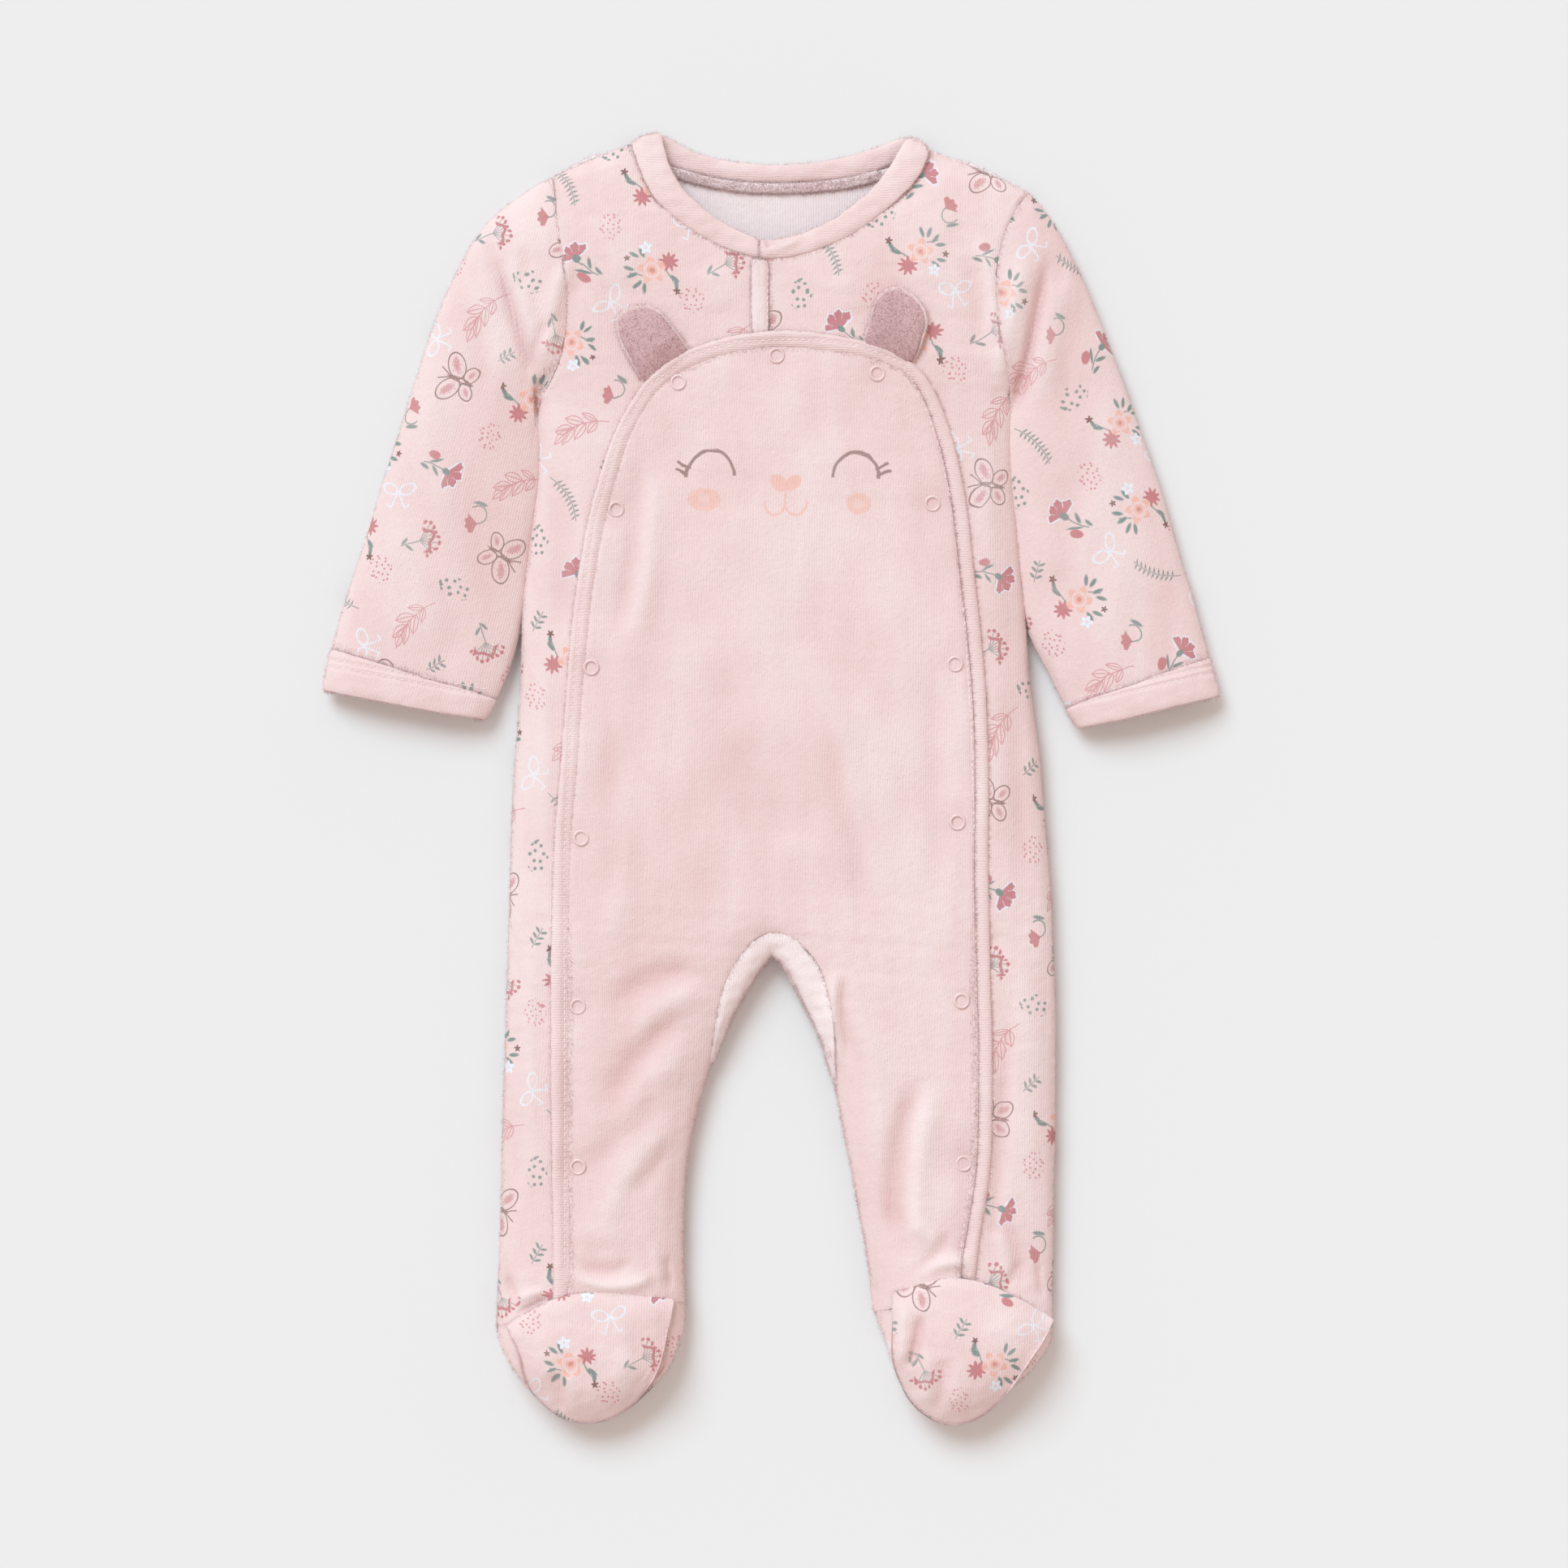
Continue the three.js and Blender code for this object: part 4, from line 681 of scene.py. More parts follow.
# The creases of the top cloth as it lies: from one place to another, how far the line bows to its left,
# its half width, and its height or depth, all in millimetres.
CREASES = [
    # down the bib from the chest, soft and long
    (-58, 143, -69, 58, 3, 5, -0.9), (-52, 140, -60, 60, 3, 6, 0.7), (-46, 96, -52, 20, -4, 9, -0.4),
    (14, 60, 38, -30, 5, 7, 0.8), (22, 30, 40, -70, 4, 5, -0.8), (32, 50, 52, -40, 6, 8, 0.5),
    (-8, 84, -2, 0, 5, 16, 0.5), (60, 96, 66, -10, -5, 10, 0.5), (70, 60, 72, -60, 3, 6, -0.5),
    (-72, 26, -70, -60, 2, 5, -0.6), (-64, 10, -66, -80, -3, 7, 0.5), (-30, 52, -20, -30, 8, 14, -0.4),
    (-34, 108, 30, 104, -8, 18, 0.4), (-20, -20, 26, -24, 6, 12, -0.3), (0, -30, 40, -44, 5, 8, 0.3),
    # left leg, slanting across under the gusset
    (-30, -86, -72, -104, -6, 6, -0.9), (-26, -94, -62, -124, -7, 6, 0.8),
    (-36, -104, -74, -150, -5, 6, -1.1), (-34, -118, -70, -178, -6, 7, 0.9),
    (-46, -128, -84, -176, 4, 6, -0.9), (-40, -150, -76, -206, -5, 6, 0.8),
    (-44, -160, -66, -186, 3, 4, -0.6), (-84, -222, -50, -219, -5, 3, 0.9),
    (-86, -215, -60, -212, -5, 3.5, -0.8), (-60, -200, -88, -196, 4, 6, 0.4),
    (-90, -120, -94, -190, 2, 4, -0.4),
    # right leg, from the gusset down and up from the foot
    (29, -84, 33, -132, -3, 3, 0.9), (33, -88, 37, -128, -2, 2.5, -0.8), (40, -100, 47, -170, 4, 6, 0.6),
    (66, -132, 55, -206, -5, 5, -1.2), (74, -134, 66, -212, -4, 5, 1.0), (84, -150, 82, -208, 3, 4, -0.5),
    (60, -196, 76, -214, 3, 3.5, 0.7), (50, -188, 60, -216, 3, 4, -0.6), (88, -196, 80, -214, 2, 3, -0.5),
    # sleeve heads and the cloth beside the armholes
    (-122, 229, -106, 178, 0.5, 2.2, -1.7), (-115, 232, -101, 180, 0, 4.5, 1.0),
    (-133, 222, -116, 170, 3, 6, 0.8), (-138, 214, -126, 166, 3, 6, -0.5),
    (-110, 236, -112, 214, 2, 3, -0.6), (-128, 238, -120, 222, 0, 3, -0.5),
    (-88, 232, -97, 182, -4, 3.5, 0.8), (-84, 226, -91, 180, -3, 4, -0.6),
    (-94, 206, -106, 176, -3, 3, -0.7), (124, 234, 107, 158, 0.5, 2.4, -1.8),
    (116, 236, 101, 168, -2, 5, 1.0), (134, 228, 119, 160, -2, 6, 0.7), (141, 214, 130, 160, -3, 7, -0.5),
    (130, 236, 126, 214, 0, 3, -0.6), (113, 176, 104, 150, 1, 4, -0.6), (92, 240, 97, 190, 4, 4, 0.9),
    (87, 232, 92, 186, 3, 4.5, -0.6), (102, 196, 110, 160, 3, 3, -0.6),
    # down the sleeves
    (-152, 190, -134, 96, -8, 8, 0.5), (-134, 150, -122, 66, -4, 7, -0.5), (-168, 120, -150, 56, 4, 8, 0.5),
    (-150, 90, -140, 48, 3, 6, -0.5), (152, 188, 136, 96, 8, 9, 0.5), (132, 148, 124, 70, 4, 7, -0.5),
    (166, 116, 152, 52, -4, 8, 0.5), (178, 92, 176, 44, 2, 6, -0.4),
    # the side fronts
    (-96, 140, -92, 60, 2, 5, -0.6), (-104, 60, -101, -40, 2, 5, 0.5), (-103, -60, -106, -190, -2, 5, 0.5),
    (96, 150, 99, 70, -2, 5, 0.6), (106, 40, 110, -60, 2, 5, -0.5), (112, -70, 110, -200, 3, 6, 0.5),
    (-80, 250, -66, 216, 4, 8, 0.5), (-30, 226, -22, 206, 3, 7, 0.5), (80, 256, 74, 216, -4, 8, 0.5),
    (28, 222, 34, 204, 3, 7, 0.4), (103, -196, 112, -226, 2, 3, -0.8), (99, -200, 104, -226, 2, 3, 0.6),
    # the ankles, puckered where the feet are sewn on and puffed over the flaps
    (-92, -220, -52, -222.5, -1.2, 3.0, 0.5), (-114, -232, -99, -226, 0, 1.8, 0.6),
    (-119, -220, -112, -236, 1, 1.8, -0.8), (-121, -212, -115, -230, 1, 2.2, -0.6),
    (-113, -238, -97, -230, 0, 1.6, -0.8), (64, -219, 90, -214, 2, 3.6, 1.0),
    (79, -200, 65, -219, 2, 3, -1.0), (118, -214, 120.5, -232, 0, 1.8, -0.8),
    (110, -214, 104, -226, 0, 2, -0.6), (-46, -212, -44, -228, 0, 2, -0.6),
    (-52, -206, -48, -226, 0, 2.4, 0.5),
    # beside the hem above the right foot, and the small lap of the neckband
    (105, -112, 98, -217, 0, 3, -0.8), (-2.5, 239.5, 0, 233.5, 0, 1.5, -0.7),
    (2, 237.5, 14, 241, 0.5, 1.0, -0.35), (4, 234, 12, 237, 0, 1.6, 0.35),
    # the flaps of the feet
    (66, -237, 61, -262, 1, 2.3, -1.3), (59, -231, 57, -262, 0, 3.2, 0.9), (77, -256, 73, -282, 1, 3, -0.6),
    (70, -252, 68, -280, 0, 3.6, 0.5), (86, -256, 82, -282, 0, 5, 0.4), (100, -236, 108, -262, 2, 8, 0.4),
    (-96, -262, -92, -281, 1, 3, -0.6), (-88, -262, -86, -282, 0, 3.4, 0.4),
    (-103, -242, -98, -268, 1, 5, 0.4), (-62, -252, -66, -278, -1, 6, 0.4),
    (-60, -238, -57, -262, 0, 4, -0.35),
]
FOLD_GAIN = 2.1
# The rows of stitches that press the cloth down, and how deep and how wide they press it.
STITCH_ROWS = [
    # round the bib, beside its rolled edge and inside its hem
    [
        (-91.1, -216.9), (-91.1, -123.3), (-91.4, -36.9), (-88.9, 20.7), (-84.6, 71.1), (-78.5, 114.3),
        (-67.7, 150.3), (-54.0, 172.6), (-36.0, 186.3), (-16.2, 192.1), (3.6, 193.5), (21.6, 193.1),
        (39.6, 190.6), (57.6, 183.2), (66.6, 168.7), (74.9, 145.1), (81.0, 116.3), (85.7, 71.1),
        (88.9, 20.7), (90.4, -36.9), (91.1, -123.3), (88.6, -177.3), (82.8, -218.7),
    ],
    # both sides of the placket
    [(-1.2, 228.5), (-1.6, 199.5)],
    [(-8.2, 228.5), (-8.6, 199.0)],
]
STITCH_PRESS = (0.5, 1.4)
DIMPLE_RADIUS = 7.5
DIMPLE_DEPTH = 0.9
DIMPLE_LIMIT = 97.0  # how far from the suit's middle line they reach
# Where each sleeve lies against the body below the armhole: from one place to another, and how far the two
# are pressed together.
UNDERARMS = [(-102.6, 158, -111.5, 52, 3.4), (105.5, 160, 117.5, 46, 5.0)]
UNDERARM_REACH = 15.0
SNAPS = [
    (2.5, 186.5), (-41.0, 174.6), (47, 178.5), (-68.5, 118.5), (71.5, 121), (-79.5, 48.5), (81.5, 50),
    (-84, -27), (82.5, -20), (-85.4, -101.5), (84.3, -99), (-85.4, -172.5), (85.3, -171),
]


def off_row(x, y, row):
    """How far a place is from a row of stitches, seen from above."""
    off = np.full(len(x), np.inf)
    for (x1, y1), (x2, y2) in zip(row, row[1:]):
        dx, dy = x2 - x1, y2 - y1
        along = np.clip(((x - x1) * dx + (y - y1) * dy) / (dx * dx + dy * dy), 0, 1)
        off = np.minimum(off, np.hypot(x - x1 - dx * along, y - y1 - dy * along))
    return off


def sunk_seams(piece, depth):
    """The piece's places, with its sewn edges drawn down into a soft groove where they are on top."""
    points = points_of(piece)
    on_top = np.clip((points[:, 2] - 4) / 5, 0, 1)
    points[:, 2] -= depth * edge_nearness(piece) ** 2 * on_top
    return points


def lay(piece, points, uneven=0.1):
    """Settles a piece at some places: the creases of the top cloth, the same to every layer of it, and none
    to the underside. It keeps how high each place of the cloth is raised in them, in the snaps' dimples and
    along the stitch rows, so the velour can paint shade into the hollows and highlight onto the ridges."""
    x, y, z = points.T
    top = np.clip((z - 7.0) / 8.0, 0, 1)
    top = top * top * (3 - 2 * top)
    rise = np.zeros(len(points))
    for x1, y1, x2, y2, bow_size, half, height in CREASES:
        dx, dy = x2 - x1, y2 - y1
        size = math.hypot(dx, dy)
        along = ((x - x1) * dx + (y - y1) * dy) / size**2
        across = ((x - x1) * dy - (y - y1) * dx) / size
        across = across + bow_size * (1 - (2 * along - 1) ** 2)
        fade = np.clip(np.minimum(along, 1 - along) * 3.2 + 0.12, 0, 1)
        rise += FOLD_GAIN * height * fade * fade * (3 - 2 * fade) * np.exp(-((across / half) ** 2))
    for sx, sy in SNAPS:
        away = np.hypot(x - sx, y - sy) / DIMPLE_RADIUS
        rise -= DIMPLE_DEPTH * np.exp(-(away**2)) * (np.abs(x) < DIMPLE_LIMIT)
    depth, half = STITCH_PRESS
    for row in STITCH_ROWS:
        rise -= depth * np.exp(-((off_row(x, y, row) / half) ** 2))
    rise += wander(points * (1, 1, 0), 34, 3) * 0.16 + wander(points * (1, 1, 0), 13, 4) * 0.07
    layer = piece.data.attributes.new("fold", "FLOAT", "POINT")
    layer.data.foreach_set("value", (rise * top).astype(np.float32))
    moved = points.copy()
    moved[:, 2] += rise * top
    moved += normals_of(piece) * (uneven * wander(points, 7, 7) * np.clip(z / 2, 0, 1))[:, None]
    for x1, y1, x2, y2, closing in UNDERARMS:
        along = (y1 - y) / (y1 - y2)
        side = x - (x1 + (x2 - x1) * along)
        press = closing / 2 * np.clip((along + 0.1) * 9, 0, 1) * np.clip((1 - along) * 4, 0, 1)
        moved[:, 0] -= np.sign(side) * press * np.exp(-((side / UNDERARM_REACH) ** 2))
    moved[:, 0] += wander(points * (1, 1, 0), 60, 5) * 0.22
    moved[:, 1] += wander(points * (1, 1, 0), 60, 6) * 0.22
    put_points(piece, moved)


def finish_piece(piece, slot_name, *nodes):
    for face in piece.data.polygons:
        face.use_smooth = True
    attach(piece, "root")
    if nodes:
        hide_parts(*nodes)


cloths = []


def finish_cloth(piece, material, slot_name, node, size, area, degrees=0, shift=(0, 0)):
    """size is the cut's width and length in millimetres, and area its flat area in square centimetres;
    neither is used. The cloth's grain is turned by some degrees, and its print shifted."""
    lay_cloth_coordinates(piece, degrees, shift)
    piece.data.materials.append(material)
    finish_piece(piece, slot_name, node)
    flat = (size[0] * MM, size[1] * MM)
    area * 1e-4
    cloths.append(piece)


back = fine_shell("back_cloth", "back", 2)
lay(back, points_of(back))
finish_cloth(back, printed_velour, "printed_velour", "back", (270, 520), 1070, 0, (11, 7))
back.data.materials.append(inner_velour)
for face in back.data.polygons:
    face.material_index = 1 if face.normal.z > INNER_FACING else 0

# Side fronts
# Two printed panels from the shoulders to the ankles, which meet at the placket and pass under the bib.
SEAM_DEPTH = 0.7
SHOULDER_DROP = 1.9  # how far the shoulder edge comes down, to the back's edge
SHOULDER_START, SHOULDER_FULL = 250.0, 258.0
for side, shift, area in (("left", (0, 0), 322), ("right", (23, 31), 339)):
    front = fine_shell(f"side_front_{side}", f"front_{side}", 3)
    points = sunk_seams(front, SEAM_DEPTH)
    shoulder = np.clip((points[:, 1] - SHOULDER_START) / (SHOULDER_FULL - SHOULDER_START), 0, 1)
    points[:, 2] -= SHOULDER_DROP * edge_nearness(front) * shoulder
    lay(front, points)
    node = f"front_{side}"
    finish_cloth(front, printed_velour, "printed_velour", node, (130, 530), area, 0, shift)

# Bib
# The plain front panel, buttoned over the side fronts from the chest to both ankles, with a sleeping face
# printed on its chest. Its edge lies lower beside the rolled binding than beside the flat hem.
HEM_START, HEM_END = 30.0, 66.0  # where the rolled edge turns into the flat hem, across the bib
HEM_LEVELLING = 0.85
BIB_OVERLAP = 0.8  # how far its bound edge runs into the binding
BOUND_OUTSIDE, BOUND_ABOVE = 60.0, 100.0


def hem_share(points):
    """Nought where the bib's edge is rolled, one where it is a flat hem."""
    return np.clip((points[:, 0] - HEM_START) / (HEM_END - HEM_START), 0, 1)


bib = fine_shell("bib_cloth", "bib", 3)
points = sunk_seams(bib, SEAM_DEPTH * (1 - HEM_LEVELLING * hem_share(points_of(bib))))
bound = edge_nearness(bib) * ((np.abs(points[:, 0]) > BOUND_OUTSIDE) | (points[:, 1] > BOUND_ABOVE))
points[:, :2] += normals_of(bib)[:, :2] * (BIB_OVERLAP * bound)[:, None]
lay(bib, points)
finish_cloth(bib, face_velour, "plain_velour", "bib", (181, 427), 618)

# Bib binding
# A strip of the plain velour rolled over the bib's cut edge, plump on the left and flatter on the right.
BINDING_SINK = 1.0
HEM_FLATTENING = 0.9
BINDING_OVERLAP = (0.7, 1.0)  # how far its inner side runs into the bib, and by how much more at the hem
BINDING_MIDDLE = (0.0, 40.0)
BINDING_MARGIN = 20.0
BINDING_FOOT = (-220.0, 5.0, 1.0)  # below this it runs on under the foot's flap, by so much longer and lower
binding = fine_shell("binding_cloth", "bib_binding", 3, 0.25)
points = points_of(binding)
hem = hem_share(points)
level = normals_of(binding)[:, :2]
inward = np.clip(((BINDING_MIDDLE - points[:, :2]) * level).sum(axis=1) / BINDING_MARGIN, 0, 1)
inward *= BINDING_OVERLAP[0] + BINDING_OVERLAP[1] * hem
points[:, :2] += level * inward[:, None]
under_flap = np.clip((BINDING_FOOT[0] - points[:, 1]) / 5, 0, 1)
points[:, 1] -= BINDING_FOOT[1] * under_flap
points[:, 2] -= BINDING_SINK + HEM_FLATTENING * hem + BINDING_FOOT[2] * under_flap
lay(binding, points)
finish_cloth(binding, plain_velour, "plain_velour", "bib_binding", (10, 1000), 91, 90)

# Crotch gusset
# A plain crescent between the legs, sewn to the bib's lower edge and puffed out below that seam.
GUSSET_TOP, GUSSET_DROP, GUSSET_PUFF = 17.0, 10.0, 2.4
# Its tips run on between the leg's edges: for each side, from where down and by how much.
GUSSET_TIPS = [(-1, -105.0, 9.0), (1, -121.0, 6.0)]
TIP_LENGTH = 14.0
TIP_LEAN = 0.37
TIP_LEVEL = 7.6
gusset = fine_shell("gusset_cloth", "crotch_gusset", 3)
points = sunk_seams(gusset, SEAM_DEPTH)
fallen = np.clip((GUSSET_TOP - points[:, 2]) / GUSSET_DROP, 0, 1)
points[:, 2] += GUSSET_PUFF * np.sin(math.pi * fallen) * np.clip(normals_of(gusset)[:, 2] * 2 + 1, 0, 1)
for side, start, reach in GUSSET_TIPS:
    tip = np.clip((start - points[:, 1]) / TIP_LENGTH, 0, 1) ** 2 * (points[:, 0] * side > 0)
    points += (np.array([side * TIP_LEAN, -1, 0]) * reach) * tip[:, None]
    points[:, 2] += (TIP_LEVEL - points[:, 2]) * 0.5 * tip
lay(gusset, points, 0.2)
gusset_velour = velour("gusset_velour", *GUSSET_PINKS)
finish_cloth(gusset, gusset_velour, "plain_velour", "crotch_gusset", (56, 76), 19)

# Sleeves
# Printed tubes, folded flat along the shoulder edge and the underarm, with their grain down the arm.
for side, degrees, shift, area in (("left", -13, (15, 20), 281), ("right", 14, (40, 9), 256)):
    sleeve = fine_shell(f"sleeve_cloth_{side}", f"sleeve_{side}", 3)
    lay(sleeve, sunk_seams(sleeve, SEAM_DEPTH))
    node = f"sleeve_{side}"
    finish_cloth(sleeve, printed_velour, "printed_velour", node, (188, 220), area, degrees, shift)

# Cuffs
# The plain turned hems of the sleeves, held by two rows of stitches that sink into the pile.
CUFF_ENDS = {"left": ((-198.4, 39.0), (-126.5, 25.0)), "right": ((137.0, 21.5), (198.5, 36.0))}
CUFF_GROOVES = [(13.6, 0.5, 0.9), (10.6, 0.45, 0.75)]  # up from the hem's end, depth, half width
for side, degrees, area in (("left", -13, 25), ("right", 14, 21.4)):
    cuff = fine_shell(f"cuff_cloth_{side}", f"cuff_{side}", 3, 0.4)
    points = points_of(cuff)
    normals = normals_of(cuff)
    (x1, y1), (x2, y2) = CUFF_ENDS[side]
    size = math.hypot(x2 - x1, y2 - y1)
    up = ((y1 - points[:, 1]) * (x2 - x1) + (points[:, 0] - x1) * (y2 - y1)) / size * -1
    for height, depth, half in CUFF_GROOVES:
        sink = depth * np.exp(-(((up - height) / half) ** 2))
        points -= normals * sink[:, None]
    lay(cuff, points)
    finish_cloth(cuff, plain_velour, "plain_velour", f"cuff_{side}", (140, 19), area, degrees)

# Neckband
# A plain band folded over the neck edge, in two front runs and one at the back, with a tape over the back
# neck seam inside.
BAND_SINK = 0.6
for part, levels, sink, length_round, area in (
    ("left", 3, BAND_SINK, 82, 9.7),
    ("right", 3, BAND_SINK, 92, 11),
    ("back", 2, 0.0, 130, 13),
):
    node = f"neckband_{part}"
    band = fine_shell(f"{node}_cloth", node, levels, 0.25)
    lay(band, points_of(band) - (0, 0, sink), 0.22)
    finish_cloth(band, plain_velour, "plain_velour", node, (12, length_round), area, 90)
tape = fine_shell("neck_tape_cloth", "neck_tape", 2, 0.4)
lay(tape, points_of(tape))
tape_velour = velour("neck_tape", *TAPE_PINKS, rib=0.3)
finish_cloth(tape, tape_velour, "neck_tape", "neck_tape", (10, 101), 5.6, 90)

# Placket
# The strip that finishes the centre front from the neckband down to the bib.
PLACKET_SINK = 0.35
PLACKET_FOOT = (204.0, 3.5, 0.5)  # below this it runs on under the binding, by so much longer and lower
placket = fine_shell("placket_cloth", "placket", 3, 0.35)
points = points_of(placket)
foot_start, foot_reach, foot_drop = PLACKET_FOOT
foot = np.clip((foot_start - points[:, 1]) / 5, 0, 1)
points[:, 1] -= foot_reach * foot
points[:, 2] -= PLACKET_SINK + foot_drop * foot
lay(placket, points)
placket_velour = velour("placket_velour", *PLACKET_PINKS)
finish_cloth(placket, placket_velour, "plain_velour", "placket", (10, 32), 2.9)

# Feet
# Each foot has a printed sole that turns up round its edge and a printed flap over the toes. The flap's
# upper edge is hemmed and pressed into the end of the leg, which puffs up over it.
FLAP_PRESS = (2.0, 3.6)  # how deep and how far in
FLAP_EDGES = {
    "left": [
        (-116.5, -241.0), (-105.2, -233.8), (-98.2, -229.7), (-91.9, -227.4), (-83.5, -225.9),
        (-70.0, -226.6), (-56.0, -229.0), (-46.0, -230.8),
    ],
    "right": [
        (54.5, -228.5), (66.6, -223.2), (75.0, -220.8), (84.0, -220.0), (94.0, -222.3), (108.0, -229.5),
        (121.0, -238.0),
    ],
}
FLAP_PRINT_SHIFT = (31, 20)
TOE_LIFT = 4.5
TOE_START = -236.0
TOE_END = -262.0


def lifted_toe(points, normals):
    """Lifts the edge of the toes, so that the foot is full right up to its seam."""
    toe = np.clip((TOE_START - points[:, 1]) / (TOE_START - TOE_END), 0, 1)
    level = np.hypot(normals[:, 0], normals[:, 1])
    turned_up = np.where(normals[:, 2] > 0, level, np.clip(level * 1.15, 0, 1)) ** 1.6
    points[:, 2] += TOE_LIFT * toe * toe * (3 - 2 * toe) * turned_up * np.clip(points[:, 2] / 3.0, 0, 1)
    return points


for side, shift, areas in (("left", (5, 44), (55, 39.6)), ("right", (61, 12), (51.5, 41.5))):
    sole = fine_shell(f"foot_sole_cloth_{side}", f"foot_sole_{side}", 3)
    lay(sole, lifted_toe(points_of(sole), normals_of(sole)))
    node = f"foot_sole_{side}"
    finish_cloth(sole, printed_velour, "printed_velour", node, (86, 72), areas[0], 0, shift)
    upper = fine_shell(f"foot_upper_cloth_{side}", f"foot_upper_{side}", 3)
    points = lifted_toe(points_of(upper), normals_of(upper))
    off_edge = off_row(points[:, 0], points[:, 1], FLAP_EDGES[side])
    points[:, 2] -= FLAP_PRESS[0] * np.exp(-((off_edge / FLAP_PRESS[1]) ** 2))
    lay(upper, points)
    shift = (shift[0] + FLAP_PRINT_SHIFT[0], shift[1] + FLAP_PRINT_SHIFT[1])
    node = f"foot_upper_{side}"
    finish_cloth(upper, printed_velour, "printed_velour", node, (76, 66), areas[1], 0, shift)

# Ears
# A velour back that shows as a rim and a front of mauve terry, caught in the bib's binding.
EAR_BASES = {"left": ((-49.0, 184.0), (0.584, -0.812)), "right": ((53.4, 190.8), (-0.38, -0.925))}
TUCK_DEPTH = 6.0
TUCK_REACH = 3.4
TUCK_DROP = 1.9
EAR_SHRINK = 0.05  # how much smaller the terry face is than the back that shows round it
EAR_RIM_RISE = 1.3
EAR_RIM_START = 8.0  # how far out from the base the rim has its full rise
terry = velour("ear_terry", *TERRY_MAUVES, rib=0.3)
ear_faces = []
for side in ("left", "right"):
    for part, material, slot_name, size, area in (
        ("back", plain_velour, "plain_velour", (34, 33), 7.5),
        ("front", terry, "ear_terry", (32, 31), 6.3),
    ):
        ear = fine_shell(f"ear_{part}_cloth_{side}", f"ear_{part}_{side}", 2, 0.3)
        points = points_of(ear)
        (base_x, base_y), way = EAR_BASES[side]
        if part == "front":
            ear_faces.append(ear)
            points[:, :2] -= (points[:, :2] - (base_x, base_y)) * EAR_SHRINK
        near = (points[:, 0] - base_x) * way[0] + (points[:, 1] - base_y) * way[1]
        tuck = np.clip(1 + near / TUCK_DEPTH, 0, 1) ** 1.5
        points[:, 0] += way[0] * TUCK_REACH * tuck
        points[:, 1] += way[1] * TUCK_REACH * tuck
        points[:, 2] -= TUCK_DROP * tuck
        if part == "back":
            points[:, 2] += EAR_RIM_RISE * edge_nearness(ear) * np.clip(-near / EAR_RIM_START, 0, 1)
        lay(ear, points)
        finish_cloth(ear, material, slot_name, f"ear_{part}_{side}", size, area)

# Press fasteners
# Open rings of pale pink enamelled metal, pressed through the bib so that the cloth dimples round them.
enamel, _, enamel_shader = new_material("snap_enamel")
set_inputs(enamel_shader, {"Base Color": (0.86, 0.66, 0.65, 1), "Roughness": 0.32, "Coat Weight": 0.4})
# The ring's section: millimetres out from its middle, and up.
RING = [(2.3, 0.0), (2.45, 0.5), (2.8, 0.85), (3.2, 0.85), (3.55, 0.55), (3.7, 0.1), (3.5, -0.2), (2.5, -0.2)]
HIGH_ABOVE = 0.1


def cloth_surface():
    """All the cloth as one surface to cast rays at."""
    points, corners, start = [], [], 0
    for piece in cloths:
        piece.data.calc_loop_triangles()
        corners.append(read_all(piece.data.loop_triangles, "vertices", 3, np.int32) + start)
        points.append(points_of(piece) * MM)
        start += len(piece.data.vertices)
    return BVHTree.FromPolygons(np.concatenate(points).tolist(), np.concatenate(corners).tolist())


surface = cloth_surface()


def on_cloth(x, y):
    """The place straight below on the uppermost cloth, and the way that it faces."""
    place, normal, _, _ = surface.ray_cast(Vector((x * MM, y * MM, HIGH_ABOVE)), Vector((0, 0, -1)))
    return place, normal


for number, (x, y) in enumerate(SNAPS, 1):
    bm = bmesh.new()
    profile = [bm.verts.new((radius * MM, 0, height * MM)) for radius, height in RING]
    for i, vertex in enumerate(profile):
        bm.edges.new((vertex, profile[(i + 1) % len(profile)]))
    whole = bm.verts[:] + bm.edges[:]
    bmesh.ops.spin(bm, geom=whole, cent=(0, 0, 0), axis=(0, 0, 1), angle=math.tau, steps=40, use_merge=True)
    bmesh.ops.remove_doubles(bm, verts=bm.verts, dist=1e-6)
    bmesh.ops.recalc_face_normals(bm, faces=bm.faces)
    place, normal = on_cloth(x, y)
    bm.transform(Matrix.Translation(place) @ normal.to_track_quat("Z", "Y").to_matrix().to_4x4())
    mesh = bpy.data.meshes.new(f"snap_ring_{number:02d}")
    bm.to_mesh(mesh)
    bm.free()
    ring = bpy.data.objects.new(f"snap_ring_{number:02d}", mesh)
    scene.collection.objects.link(ring)
    mesh.materials.append(enamel)
    finish_piece(ring, "snap_enamel", f"snap_{number:02d}")

# Stitches
# Rows of single stitches in pale pink thread: round the bib, down the placket and two rows round each cuff.
STITCH_PITCH = 3.0
STITCH_HALF = (1.15, 0.3, 0.26)  # half its length, width and height
CUFF_INSET = 2.5  # how far from the sides of the cuff its rows begin
THREAD_DARK = (0.90, 0.72, 0.72)
THREAD_LIGHT = (0.98, 0.88, 0.88)
thread, thread_tree, thread_shader = new_material("thread")
Field.tree = thread_tree
plies = noise_field(thread_tree.nodes.new("ShaderNodeTexCoord").outputs["Object"], 2200.0, 2.0, 0.6)
thread_bump = thread_tree.nodes.new("ShaderNodeBump")
set_inputs(thread_bump, {"Distance": 0.0001})
for socket, end in (
    (laid_over(THREAD_DARK, THREAD_LIGHT, plies), thread_shader.inputs["Base Color"]),
    ((plies * 0.3 + 0.5).socket, thread_shader.inputs["Roughness"]),
    (plies.socket, thread_bump.inputs["Height"]),
    (thread_bump.outputs[0], thread_shader.inputs["Normal"]),
):
    thread_tree.links.new(socket, end)


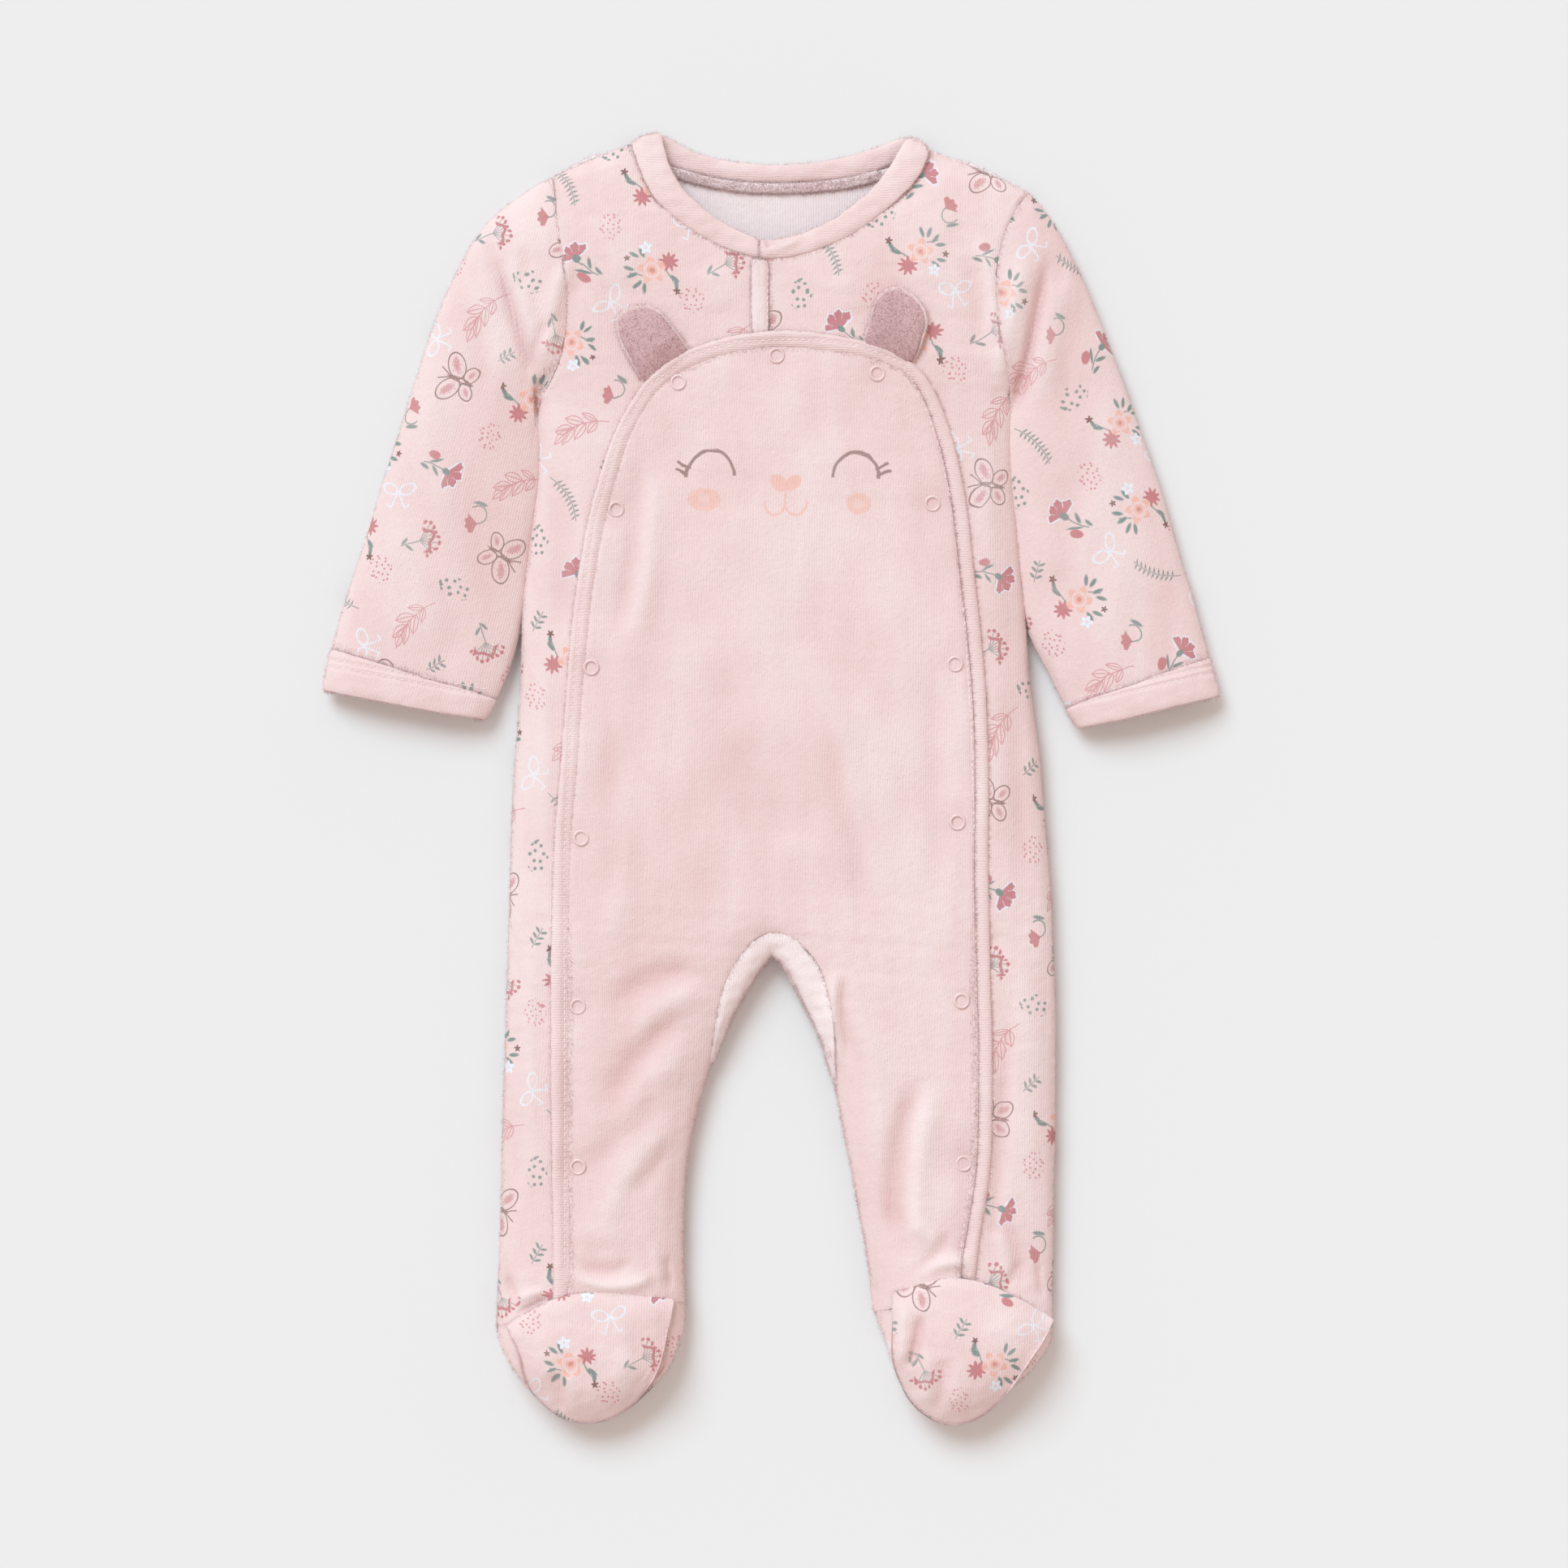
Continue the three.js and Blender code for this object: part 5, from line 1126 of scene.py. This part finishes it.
def joined_mesh(name, points, faces, material, slot_name):
    mesh = bpy.data.meshes.new(name)
    mesh.from_pydata((np.asarray(points) * MM).tolist(), [], faces)
    mesh.materials.append(material)
    piece = bpy.data.objects.new(name, mesh)
    scene.collection.objects.link(piece)
    finish_piece(piece, slot_name)
    return piece


def sew(name, rows):
    """One joined mesh of all the stitches in some rows, each lying on the cloth."""
    bm = bmesh.new()
    bmesh.ops.create_uvsphere(bm, u_segments=6, v_segments=4, radius=1)
    ball = np.array([vertex.co for vertex in bm.verts]) @ Matrix.Rotation(math.pi / 2, 3, "Y")
    ball_faces = [[vertex.index for vertex in face.verts] for face in bm.faces]
    bm.free()
    rng = np.random.default_rng(8)
    points, faces = [], []
    for row in rows:
        row = np.array(row)
        run = np.concatenate([[0], np.cumsum(np.hypot(*np.diff(row, axis=0).T))])
        for middle in np.arange(STITCH_PITCH / 2, run[-1], STITCH_PITCH):
            half = STITCH_HALF[0] * rng.uniform(0.88, 1.08)
            ends = []
            for at in (middle - half, middle + half):
                place, normal = on_cloth(np.interp(at, run, row[:, 0]), np.interp(at, run, row[:, 1]))
                ends.append(place and place / MM)
            if None in ends:
                continue
            along = (ends[1] - ends[0]).normalized()
            across = normal.cross(along).normalized()
            up = along.cross(across)
            axes = np.array([along * half, across * STITCH_HALF[1], up * STITCH_HALF[2]])
            faces += [[corner + len(points) * len(ball) for corner in face] for face in ball_faces]
            points.append(ball @ axes + (ends[0] + ends[1]) / 2)
    joined_mesh(name, np.concatenate(points), faces, thread, "plain_velour")


cuff_rows = []
for (x1, y1), (x2, y2) in CUFF_ENDS.values():
    size = math.hypot(x2 - x1, y2 - y1)
    along = Vector(((x2 - x1) / size, (y2 - y1) / size))
    inset = along * CUFF_INSET
    for height, _, _ in CUFF_GROOVES:
        up = Vector((-along.y, along.x)) * height
        cuff_rows.append([Vector((x1, y1)) + inset + up, Vector((x2, y2)) - inset + up])
sew("front_stitches", STITCH_ROWS)
sew("cuff_stitches", cuff_rows)

# Loose pile and terry loops
# The velour's pile stands out as fine hairs along its folds, seams and cut edges, and the ears' terry has
# short thick tufts all over.
HAIR_BASE = 0.25  # how deep a hair's foot lies in the cloth
HIDDEN_BY = 0.8  # a hair with more cloth than this above its root is left out
TRIANGLE = np.array([(1.0, 0.0), (-0.5, 0.87), (-0.5, -0.87)])
HAIR_FACES = np.array([(2, 1, 0), (0, 1, 3), (1, 2, 3), (2, 0, 3)])


def loose_pile(name, pieces, count, reach, width, material, slot_name, all_over=False):
    """Hairs that taper from a three-sided foot, as one mesh that takes its colours from the cloth below."""
    corner_points, corner_normals, corner_places, shares = [], [], [], []
    for piece in pieces:
        mesh = piece.data
        mesh.calc_loop_triangles()
        corners = read_all(mesh.loop_triangles, "vertices", 3, np.int32)
        loops = read_all(mesh.loop_triangles, "loops", 3, np.int32)
        points = points_of(piece)[corners]
        normals = normals_of(piece)[corners]
        near = edge_nearness(piece)[corners].mean(axis=1)
        facing = normals.mean(axis=1)
        share = np.linalg.norm(np.cross(points[:, 1] - points[:, 0], points[:, 2] - points[:, 0]), axis=1)
        if not all_over:
            level = np.hypot(facing[:, 0], facing[:, 1])
            share *= np.clip(8 * near - 7, 0, 1) + np.clip(4 * level - 3, 0, 1)
        shares.append(share * (facing[:, 2] > -0.2) * (points[:, :, 2].mean(axis=1) > 0.6))
        corner_points.append(points)
        corner_normals.append(normals)
        corner_places.append(read_all(mesh.uv_layers["cloth"].data, "uv", 2, np.float32)[loops])
    shares = np.concatenate(shares)
    rng = np.random.default_rng(count)
    chosen = rng.choice(len(shares), count * 2, p=shares / shares.sum())
    mixed = rng.dirichlet((1, 1, 1), len(chosen))[:, :, None]
    roots = (np.concatenate(corner_points)[chosen] * mixed).sum(axis=1)
    ways = (np.concatenate(corner_normals)[chosen] * mixed).sum(axis=1)
    places = (np.concatenate(corner_places)[chosen] * mixed).sum(axis=1)
    seen = []
    for i, (x, y, z) in enumerate(roots):
        place, _ = on_cloth(x, y)
        if place is None or place.z / MM - z < HIDDEN_BY:
            seen.append(i)
        if len(seen) == count:
            break
    roots, ways, places = roots[seen], ways[seen], places[seen]
    ways += rng.normal(size=ways.shape) * 0.5
    ways /= np.linalg.norm(ways, axis=1, keepdims=True)
    side = np.cross(ways, rng.normal(size=ways.shape))
    side *= width / 2 / np.linalg.norm(side, axis=1, keepdims=True)
    other = np.cross(ways, side)
    foot = roots - ways * HAIR_BASE
    hairs = [foot + side * a + other * b for a, b in TRIANGLE]
    hairs.append(roots + ways * reach * rng.uniform(0.45, 1.2, len(roots))[:, None])
    points = np.stack(hairs, axis=1).reshape(-1, 3)
    points[:, 2] = np.maximum(points[:, 2], 0)
    faces = (HAIR_FACES[None] + 4 * np.arange(len(roots))[:, None, None]).reshape(-1, 3)
    piece = joined_mesh(name, points, faces.tolist(), material, slot_name)
    layer = piece.data.uv_layers.new(name="cloth")
    layer.data.foreach_set("uv", np.repeat(places.astype(np.float32), HAIR_FACES.size, axis=0).ravel())


printed_cloths = [piece for piece in cloths if piece.data.materials[0] == printed_velour]
plain_cloths = [piece for piece in cloths if piece not in printed_cloths and piece not in ear_faces]
loose_pile("printed_pile", printed_cloths, 24000, 1.6, 0.16, printed_velour, "printed_velour")
loose_pile("plain_pile", plain_cloths, 24000, 1.9, 0.18, plain_velour, "plain_velour")
loose_pile("terry_tufts", ear_faces, 3600, 0.7, 0.36, terry, "ear_terry", all_over=True)
loose_pile("tape_pile", [tape], 2400, 1.2, 0.22, tape.data.materials[0], "neck_tape", all_over=True)
